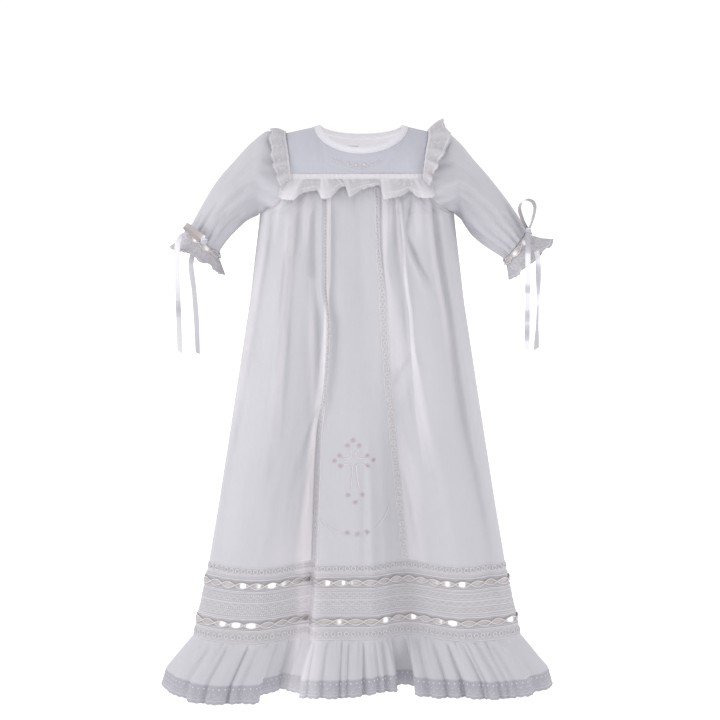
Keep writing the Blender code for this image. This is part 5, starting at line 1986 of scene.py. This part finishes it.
def sleeve_creases(side, at, turn, rng):
    """How far the creases and gathers stand out, along and round a sleeve."""
    height = np.zeros((len(at), len(turn)))
    for path, tall, reach in SLEEVE_FOLDS[side]:
        stops = np.array([p[0] for p in path])
        line = bend(stops, np.array([p[1] % 360 for p in path], float), at)
        fade = ease(stops[0] - 0.08, stops[0] + 0.06, at)
        if stops[-1] < 0.99:
            fade = fade * ease(stops[-1] + 0.10, stops[-1] - 0.08, at)
        height += tall * fade[:, None] * np.exp(-(degrees_off(turn, line[:, None]) / reach) ** 2)
    for count, depth, near, far in SLEEVE_GATHERS:
        for k in range(count):
            spot = 360 * (k + rng.uniform(0.1, 0.9)) / count
            end = near + (far - near) * rng.uniform(0.5, 1.4)
            fade = ease(end, near + (0.012 if near < 0.5 else -0.012), at)
            deep = depth * rng.uniform(0.4, 1.2) * fade[:, None]
            height -= deep * np.exp(-(degrees_off(turn, spot) / rng.uniform(2.6, 5.0)) ** 2)
    return height


def threaded_cuff(field, rng):
    """The ribbon of a cuff and its painted highlight, with its eyelet threads."""
    steps, rows = 14, 6
    total = CUFF_EYELETS * steps
    tilts = rng.uniform(-1, 1, CUFF_EYELETS)
    band = np.zeros((rows, total, 3))
    for k in range(total):
        eyelet, part = divmod(k, steps)
        arch = sin(pi * part / steps)
        for row in range(rows):
            down = -1 + 2 * row / (rows - 1)
            lift = 1.2 + 0.8 * arch * (1.2 - 0.7 * down * down) + 0.4 * tilts[eyelet] * down * arch
            place = 0.5 + 0.36 * down * (0.66 + 0.34 * arch)
            band[row, k] = field.at(field.long * k / total, place, lift)[0]
    arches = np.abs(np.sin(pi * np.arange(total) / steps))
    spin = np.cos(tau * np.arange(total) / total - pi / 2)
    # painted highlight on the crowns and a painted glint at the front
    shine = 0.4 * arches + 0.55 * np.exp(-((spin - 0.93) / 0.06) ** 2)
    bars = []
    steps = CUFF_EYELETS * 12
    for way in (1, -1):
        places = [(field.long * k / steps, 0.5 + 0.44 * way * sin(pi * k / 12)) for k in range(steps)]
        bars.append([field.at(*place, 2.3 + 0.3 * way)[0] for place in places])
    return band, np.repeat(shine[None, :], rows, axis=0), bars


def cuff_frill(side, sign, angles):
    """The lace below a cuff, waved, lifted in front and scalloped."""
    frill, at = along_rings(oval_rings(CUFF_LACE[side], sign, angles), 16)
    out = around_out(frill, sign)
    wave = CUFF_WAVE * 1.2 * np.cos(CUFF_WAVES * angles + 0.6) + 1.3 * np.cos(11 * angles + 2.0)
    fine = 0.5 * np.cos(31 * angles + 1.0)
    gathered = fine[None, :] * ease(0.0, 0.15, at)[:, None] * (1 - at[:, None])
    frill = frill + out * (wave[None, :] * at[:, None] ** 1.3 + gathered)[..., None]
    lifted = CUFF_RISE[side] * np.clip(np.sin(angles), 0, 1) ** 1.5
    frill = frill - (frill[-1] - frill[0]) / 26.0 * (lifted[None, :] * at[:, None] ** 1.2)[..., None]
    frill[-1] += unit(frill[-1] - frill[-2]) * (0.9 * np.abs(np.sin(15 * angles)))[:, None]
    return frill


class GOWN_OT_sleeves(bpy.types.Operator):
    """Makes the puffed sleeves, their beading cuffs, cuff ribbons and lace"""

    bl_idname = "gown.sleeves"
    bl_label = "Sleeves and cuffs"

    def execute(self, context):
        colours, sizes = settings(context)
        skin = lawn(colours.sleeve, "sleeve lawn")
        white = thread_finish(colours.white, "lace thread")
        beading = look("cuff beading lace", lambda f: cuff_lace_look(f, colours.lace, 2.0))
        frill_skin = look("cuff frill lace", lambda f: cuff_lace_look(f, colours.lace, 22.0))
        satin = satin_finish(colours.satin, "threaded satin")
        border = thread_finish(shade(colours.hem, 0.85), "cuff edge thread")
        angles = np.linspace(0, tau, 160, endpoint=False)
        for side, sign in (("right", -1), ("left", 1)):
            rings = [armhole_edge(angles, sign)] + oval_rings(SLEEVES[side], sign, angles)
            grid, at = along_rings(rings, 92)
            rng = np.random.default_rng(80 + sign)
            height = sleeve_creases(side, at, np.degrees(angles), rng)
            a, b = np.cos(angles)[None, :] * 3.0 + at[:, None] * 5, np.sin(angles)[None, :] * 3.0
            ends = ease(0.0, 0.04, at) * ease(1.0, 0.985, at) * 0.75 + 0.25
            height = (height + 0.6 * ripple(a, b, 90 + sign)) * ends[:, None] * sizes.fold
            grid = grid + around_out(grid, sign) * height[..., None]
            sleeve = tube(f"sleeve_{side}", grid, sign, skin, "cotton", sizes.thick)
            cuff = along_rings(oval_rings(CUFFS[side], sign, angles), 8)[0]
            name = f"cuff_beading_{side}"
            cuff_piece = tube(name, cuff, sign, beading, "lace", sizes.lace_thick, pitch=13.0)
            band, shine, bars = threaded_cuff(Skin(cuff, -1 if sign > 0 else 1), rng)
            piece = tube(f"cuff_ribbon_{side}", band, sign, satin, "satin", 0.35)
            paint(piece, "shine", shine[:, ::-1] if sign > 0 else shine)
            threads = sewn(f"cuff_threads_{side}", bars, 0.55, white, 5, closed=True)
            frill = cuff_frill(side, sign, angles)
            lace = tube(f"cuff_lace_{side}", frill, sign, frill_skin, "lace", sizes.lace_thick)
            edge = sewn(f"cuff_edge_{side}", [frill[-1]], 0.45, border, 5, closed=True)
        return {"FINISHED"}


def cuff_lace_look(f, colour, border, head=0.0):
    """Cuff lace: net with sprigs, and a firm line at the given depth.

    The first head millimetres are plain, gathered cloth, and the painted
    pleats are pale, because the lace lies double there.
    """
    u, v = f.cut()
    depth = v * -1.0
    firm = depth.near(border, 0.7, 0.4).either(depth.near(1.2, 0.5))
    sprig = f.noise(f.cut_vector(0.24, 0.24)).below(0.42, 0.03) * 0.75
    waves = (depth - 8.0 - (u * (tau / 9.0)).sin() * 2.0).size().below(0.5, 0.35)
    solid = firm.either(sprig).either(waves)
    if head:
        solid = solid.either(depth.below(head, 0.6)).either(f.painted("pleat"))
    return lace_finish(f, shade(colour, 1.04), solid, hex_net(u, v, 1.6, 0.24), 0.80, 0.88)


# ---- ruffles
RUFFLE_TOP = 17.0
RUFFLE_SEAM = 10.5
RUFFLE_SEAM_ROW = 4
# x at the seam, x and z of the edge, how far it stands forward
YOKE_RUFFLE = (
    (-95, -108, -88, 3), (-92, -110, -101, 9), (-84, -97, -105, 14), (-77, -88, -104.5, 13),
    (-69, -76, -96, 6),
    (-55, -56, -92, 5), (-50, -48, -103, 13), (-43, -38, -102.5, 12), (-34, -23, -88, 5), (-25, -16, -86, 5),
    (-18, -10, -100.5, 12), (-10, -3, -97, 9), (4, 9, -90, 5), (25, 31, -85, 5), (34, 38, -104.5, 13),
    (44, 48, -102, 11), (58, 63, -99, 8), (69, 73, -93, 5), (77, 85, -101, 11), (86, 98, -102.5, 14),
    (92, 109, -99, 9), (95, 107, -88, 3),
)
# place from front (-1) to back (1), reach, rise, how far it stands forward
SHOULDER_RUFFLES = {
    "right": (
        (-1.0, 14, -8, 10), (-0.8, 19, -6, 12), (-0.6, 22, -5, 12), (-0.4, 22, -6, 10),
        (-0.25, 22, -2, 7), (0.0, 20, 3, 0), (0.3, 20, 0, -6), (0.6, 19, -4, -9), (1.0, 10, -6, -8)),
    "left": (
        (-1.0, 8, -8, 9), (-0.8, 13, -8, 12), (-0.6, 20, -5, 13), (-0.4, 26, -6, 10), (-0.25, 30, -2, 7),
        (-0.1, 25, 8, 3), (0.0, 19, 14, 0), (0.3, 20, 4, -6), (0.6, 19, -4, -9), (1.0, 10, -6, -8)),
}


def ruffle_edge_thread(name, edge, colours):
    return sewn(name, [edge], 0.42, thread_finish(shade(colours.hem, 0.92), "edge thread"), 5)


def yoke_ruffle():
    """The ruffle of the yoke, and how far it stands forward along its length."""
    count, rows = 420, 18
    parts = np.linspace(0, 1, count)
    stops = np.linspace(0, 1, len(YOKE_RUFFLE))
    seam_x, edge_x, edge_z, forward = (
        bend(stops, np.array([r[k] for r in YOKE_RUFFLE], float), parts) for k in range(4))
    phase = np.cumsum(np.random.default_rng(7).uniform(0.22, 0.5, count))
    grid = np.zeros((rows, count, 3))
    top_z, seam_z = YOKE_SEAM + RUFFLE_TOP, YOKE_SEAM + RUFFLE_SEAM
    for row in range(RUFFLE_SEAM_ROW):
        heading = row / RUFFLE_SEAM_ROW
        x, z = seam_x * 0.985, np.full(count, top_z + (seam_z - top_z) * heading)
        y = front_y(x, z) - 1.1 - 1.1 * sin(pi * heading / 2)
        grid[row] = np.stack([x, y - 0.30 * np.sin(phase * 1.3), z], -1)
    for row in range(RUFFLE_SEAM_ROW, rows):
        t = (row - RUFFLE_SEAM_ROW) / (rows - RUFFLE_SEAM_ROW - 1)
        x = seam_x + (edge_x - seam_x) * t ** 0.8
        z = seam_z + (edge_z - seam_z) * t
        swell = np.sin(t * pi * 0.62) / sin(pi * 0.62)
        y = front_y(x, np.minimum(z, seam_z)) - 1.7 - forward * min(swell, 1.15) * t ** 0.35
        y = y - 1.1 * np.sin(phase) * exp(-t * 3.5) * min(1.0, t * 6) - 0.5 * np.sin(phase * 0.7) * t
        grid[row] = np.stack([x, y, z], -1)
    grid[-1, :, 2] -= 1.1 * np.abs(np.sin(np.linspace(0, pi * 46, count)))
    return grid, forward


def shoulder_ruffle(side, sign):
    """A ruffle over the armhole seam, and its flutes along the length."""
    count, rows = 260, 14
    part = np.linspace(-1, 1, count)
    high = shoulder_z(sign * (SHOULDER_TIP - 5.5))
    z = high + (YOKE_SEAM + 8.0 - high) * np.abs(part) ** 1.3
    x = sign * (smooth(ARMHOLE, 1, z) - 4.5)
    y = np.where(part < 0, front_y(x, z), back_y(x, z))
    sideways, forth = np.full(count, sign * 0.35), np.copysign(np.abs(part) ** 0.5, part)
    off = unit(np.stack([sideways, forth, 1 - np.abs(part) + 0.15], -1))
    start = np.stack([x, y, z], -1) + off * 2.4
    table = SHOULDER_RUFFLES[side]
    places = np.array([r[0] for r in table])
    reach, up, forward = (bend(places, np.array([r[k] for r in table], float), part) for k in (1, 2, 3))
    flute = np.sin(np.linspace(0, tau * 8.5, count) + 0.8 * np.sin(part * 9))
    ahead = -forward - 3.0 * flute * (0.4 + np.abs(part))
    tip = start + np.stack([sign * (reach + 1.5 * flute), ahead, up + 1.5 * flute], -1)
    grid = np.zeros((rows, count, 3))
    gather = 0.5 * np.sin(np.cumsum(np.random.default_rng(17 + sign).uniform(0.3, 0.6, count)))
    for row in range(rows):
        t = row / (rows - 1)
        arch = sin(pi * t) * 2.6
        grid[row] = start + (tip - start) * t + off * (arch + gather * exp(-4 * t))[:, None]
    scallop = 0.9 * np.abs(np.sin(np.linspace(0, pi * 40, count)))
    grid[-1] += unit(grid[-1] - grid[-2]) * scallop[:, None]
    return grid, flute


class GOWN_OT_ruffles(bpy.types.Operator):
    """Makes the lace ruffle of the yoke and those over the two shoulders"""

    bl_idname = "gown.ruffles"
    bl_label = "Lace ruffles"

    def execute(self, context):
        colours, sizes = settings(context)
        pale, plain = shade(colours.lace, 1.06), shade(colours.lace, 1.02)
        skin = look("ruffle lace", lambda f: cuff_lace_look(f, pale, 25.0, 7.5))
        shoulder_skin = look("shoulder lace", lambda f: cuff_lace_look(f, plain, 21.0, 3.0))
        grid, forward = yoke_ruffle()
        piece = cloth("yoke_ruffle", grid, skin, "lace", sizes.lace_thick)
        paint(piece, "pleat", np.repeat(np.clip((forward[None, :] - 8.0) / 5.0, 0, 1), len(grid), axis=0))
        edge = ruffle_edge_thread("yoke_ruffle_edge", grid[-1], colours)
        white = thread_finish(colours.white, "lace thread")
        line = grid[RUFFLE_SEAM_ROW] + (0, -0.4, 0)
        seam = sewn("yoke_ruffle_stitches", [line], 0.4, white, 5)
        for side, sign in (("right", -1), ("left", 1)):
            grid, flute = shoulder_ruffle(side, sign)
            name = f"shoulder_ruffle_{side}"
            piece = cloth(name, grid, shoulder_skin, "lace", sizes.lace_thick, flip=sign > 0)
            paint(piece, "pleat", np.repeat(np.clip(flute[None, :], 0, 1) * 0.6, len(grid), axis=0))
            edge = ruffle_edge_thread(f"shoulder_ruffle_edge_{side}", grid[-1], colours)
        return {"FINISHED"}


# ---- embroidery
CROSS_TOP = (-5.6, -448.0)
CROSS_LEAN = -0.035
# daisies of the cross: half spread and drop from the top one
CROSS_DAISIES = ((0, 0), (8.3, 7.6), (19.8, 22.6), (27.6, 30.0), (19.6, 37.6), (10.3, 80.6), (0, 91.0))
CROSS_LINES = (
    ((7.2, 14.0), (4.2, 15.5), (2.6, 20.0), (5.0, 25.4), (9.6, 26.7), (15.6, 26.0)),
    ((15.4, 37.0), (11.0, 35.0), (5.8, 34.6), (2.6, 39.6), (3.4, 50.0), (4.4, 61.0), (6.2, 71.0)),
)
GARLAND = ((-52.0, -563.5), (-44.0, -573.0), (-35.0, -579.5), (-25.0, -583.5))
GARLAND_END = ((22.0, -580.0), (31.0, -573.0), (39.0, -563.0), (45.0, -550.0))
GARLAND_DAISIES = ((-14.0, -584.0), (0.6, -586.0), (14.6, -583.0))
GARLAND_BEADS = ((-6.8, -588.2), (7.8, -587.6), (-20.0, -585.0), (19.0, -581.6))
SPRAY = ((-38.5, -48.0), (-32.0, -51.0), (-26.0, -53.6), (-20.0, -55.0))
SPRAY_END = ((17.0, -57.6), (23.0, -56.8), (29.0, -53.6), (35.5, -50.0))
ROSES = ((-12.6, -56.0), (-1.2, -57.6), (10.0, -56.6))
# half width and start of each coil of a rosebud
ROSE_COILS = ((0.4, 0.0), (0.85, 1.0), (1.3, 2.2))
# x, z, turn in degrees
SPRAY_LEAVES = (
    (-30.0, -49.2, 40), (-27.0, -55.0, -20), (-23.0, -52.4, 30), (-19.0, -57.0, -30), (-7.4, -54.0, 40),
    (-8.8, -60.0, -40), (3.8, -54.4, 20), (4.6, -61.4, -20), (15.2, -54.4, 40), (14.2, -60.2, 20),
    (21.0, -58.8, 30), (25.6, -53.4, -20), (31.0, -54.6, 30), (-35.0, -51.2, -10), (-3.0, -62.0, 0),
)


FOLDS_FOR_THREAD = front_folds()


def front_spot(x, z, lift, size):
    """A place on the finished front, and the way it faces."""

    def y(a, b):
        surface = np.array([[(a, float(front_y(a, b)), b)]])
        if b > YOKE_SEAM:
            return float(surface[0, 0, 1])
        return float(folded(surface, FOLDS_FOR_THREAD, -1, size, FRONT_SEED)[0, 0, 1])

    across, down = y(x + 0.8, z) - y(x - 0.8, z), y(x, z + 0.8) - y(x, z - 0.8)
    facing = np.array((across / 1.6, -1.0, down / 1.6))
    facing /= np.linalg.norm(facing)
    return np.array((x, y(x, z), z)) + facing * lift, facing, np.array((1.0, 0.0, 0.0))


def across_front(turn):
    """The way in the plane of the front at an angle from the wearer's left."""
    return np.array((cos(turn), 0.0, sin(turn)))


class GOWN_OT_embroidery(bpy.types.Operator):
    """Embroiders the cross and garland of the skirt and the yoke's spray"""

    bl_idname = "gown.embroidery"
    bl_label = "Embroidery"

    def execute(self, context):
        colours, sizes = settings(context)
        size = sizes.fold
        self.cross(colours, size, sizes.thick / 2)
        cream = thread_finish(colours.cream, "cream thread")
        vines = []
        for spots in (SPRAY, SPRAY_END):
            path = along_path([(a, b, 0.0) for a, b in spots], 40)
            vines.append([front_spot(a, b, 0.85, size)[0] for a, b, _ in path])
        low = [(a, -62.3 + 1.3 * cos(a * 0.55)) for a in np.linspace(-9, 11, 34)]
        vines.append([front_spot(a, b, 0.85, size)[0] for a, b in low])
        sewn("vine_stitches", vines, 0.42, cream, 6)
        leaves = [
            (*front_spot(x, z, 0.8, size)[:2], across_front(radians(angle)), (1.35, 0.9, 0.8))
            for x, z, angle in SPRAY_LEAVES
        ]
        dotted("vine_leaves", leaves, "petal", 1.0, 0.0, cream, "cotton")
        coils = []
        for x, z in ROSES:
            for wide, phase in ROSE_COILS:
                coils.append([
                    front_spot(x + wide * cos(a), z + wide * 1.5 * sin(a), 1.0 + 0.2 * (1.8 - wide), size)[0]
                    for a in np.linspace(0, tau * 0.86, 22) + phase
                ])
        sewn("rosebuds", coils, 0.36, thread_finish(colours.pink, "pink thread"), 6)
        return {"FINISHED"}

    def cross(self, colours, size, lift):
        """The cross and the garland below it: stems, daisies and beads."""
        petal = thread_finish(colours.petal, "petal thread")
        daisies = []
        for away, drop in CROSS_DAISIES:
            for way in (1, -1) if away else (1,):
                daisies.append((CROSS_TOP[0] + away * way - CROSS_LEAN * drop, CROSS_TOP[1] - drop))
        petals, hearts = [], []
        for x, z in (*daisies, *GARLAND_DAISIES):
            hearts.append((*front_spot(x, z, lift + 0.5, size), (1.35, 1.35, 1.2)))
            for k in range(8):
                a = pi * k / 4 + 0.2
                spot, facing, _ = front_spot(x + 2.2 * cos(a), z + 2.2 * sin(a), lift + 0.25, size)
                petals.append((spot, facing, across_front(a), (1.0, 0.9, 1.0)))
        for x, z in GARLAND_BEADS:
            hearts.append((*front_spot(x, z, lift + 0.3, size), (0.8, 0.8, 0.8)))
        dotted("daisy_petals", petals, "petal", 1.5, 0.0, petal, "cotton")
        heart = thread_finish(shade(colours.petal, 0.9), "heart thread")
        dotted("daisy_hearts", hearts, "bead", 0.8, 0.0, heart, "cotton")
        stems = [
            [(CROSS_TOP[0] + a * way - CROSS_LEAN * b, CROSS_TOP[1] - b) for a, b in line]
            for line in CROSS_LINES for way in (1, -1)
        ]
        laid, shadow = [], []
        for spots in (*stems, GARLAND, GARLAND_END):
            path = along_path([(a, b, 0.0) for a, b in spots], 44)
            laid.append([front_spot(a + 0.45, b + 0.2, lift + 0.25, size)[0] for a, b, _ in path])
            shadow.append([front_spot(a - 0.45, b - 0.3, lift + 0.15, size)[0] for a, b, _ in path])
        sewn("stem_stitches", laid, 0.58, thread_finish(colours.white, "lace thread"), 6)
        sewn("stem_outline", shadow, 0.55, petal, 5)


class GOWN_PT_panel(bpy.types.Panel):
    """Lists the steps, the sizes and the colours"""

    bl_idname = "GOWN_PT_panel"
    bl_label = "Christening gown"
    bl_space_type = "VIEW_3D"
    bl_region_type = "UI"
    bl_category = "Gown"

    def draw(self, context):
        for made in CLASSES:
            if issubclass(made, bpy.types.Operator):
                self.layout.operator(made.bl_idname)
        for group in (context.scene.gown_sizes, context.scene.gown_colours):
            for name in group.__annotations__:
                self.layout.prop(group, name)


CLASSES = (
    GownColours, GownSizes, GOWN_OT_stage, GOWN_OT_bows, GOWN_OT_skirt, GOWN_OT_band, GOWN_OT_ribbons,
    GOWN_OT_flounce, GOWN_OT_yoke, GOWN_OT_closing, GOWN_OT_sleeves, GOWN_OT_ruffles, GOWN_OT_embroidery,
    GOWN_PT_panel,
)


def register():
    for made in CLASSES:
        bpy.utils.register_class(made)
    bpy.types.Scene.gown_colours = PointerProperty(type=GownColours)
    bpy.types.Scene.gown_sizes = PointerProperty(type=GownSizes)


def unregister():
    del bpy.types.Scene.gown_colours
    del bpy.types.Scene.gown_sizes
    for made in reversed(CLASSES):
        bpy.utils.unregister_class(made)


def main():
    register()
    bpy.ops.gown.stage()
    bpy.ops.gown.bows()
    bpy.ops.gown.skirt()
    bpy.ops.gown.band()
    bpy.ops.gown.ribbons()
    bpy.ops.gown.flounce()
    bpy.ops.gown.yoke()
    bpy.ops.gown.closing()
    bpy.ops.gown.sleeves()
    bpy.ops.gown.ruffles()
    bpy.ops.gown.embroidery()


if __name__ == "__main__":
    main()
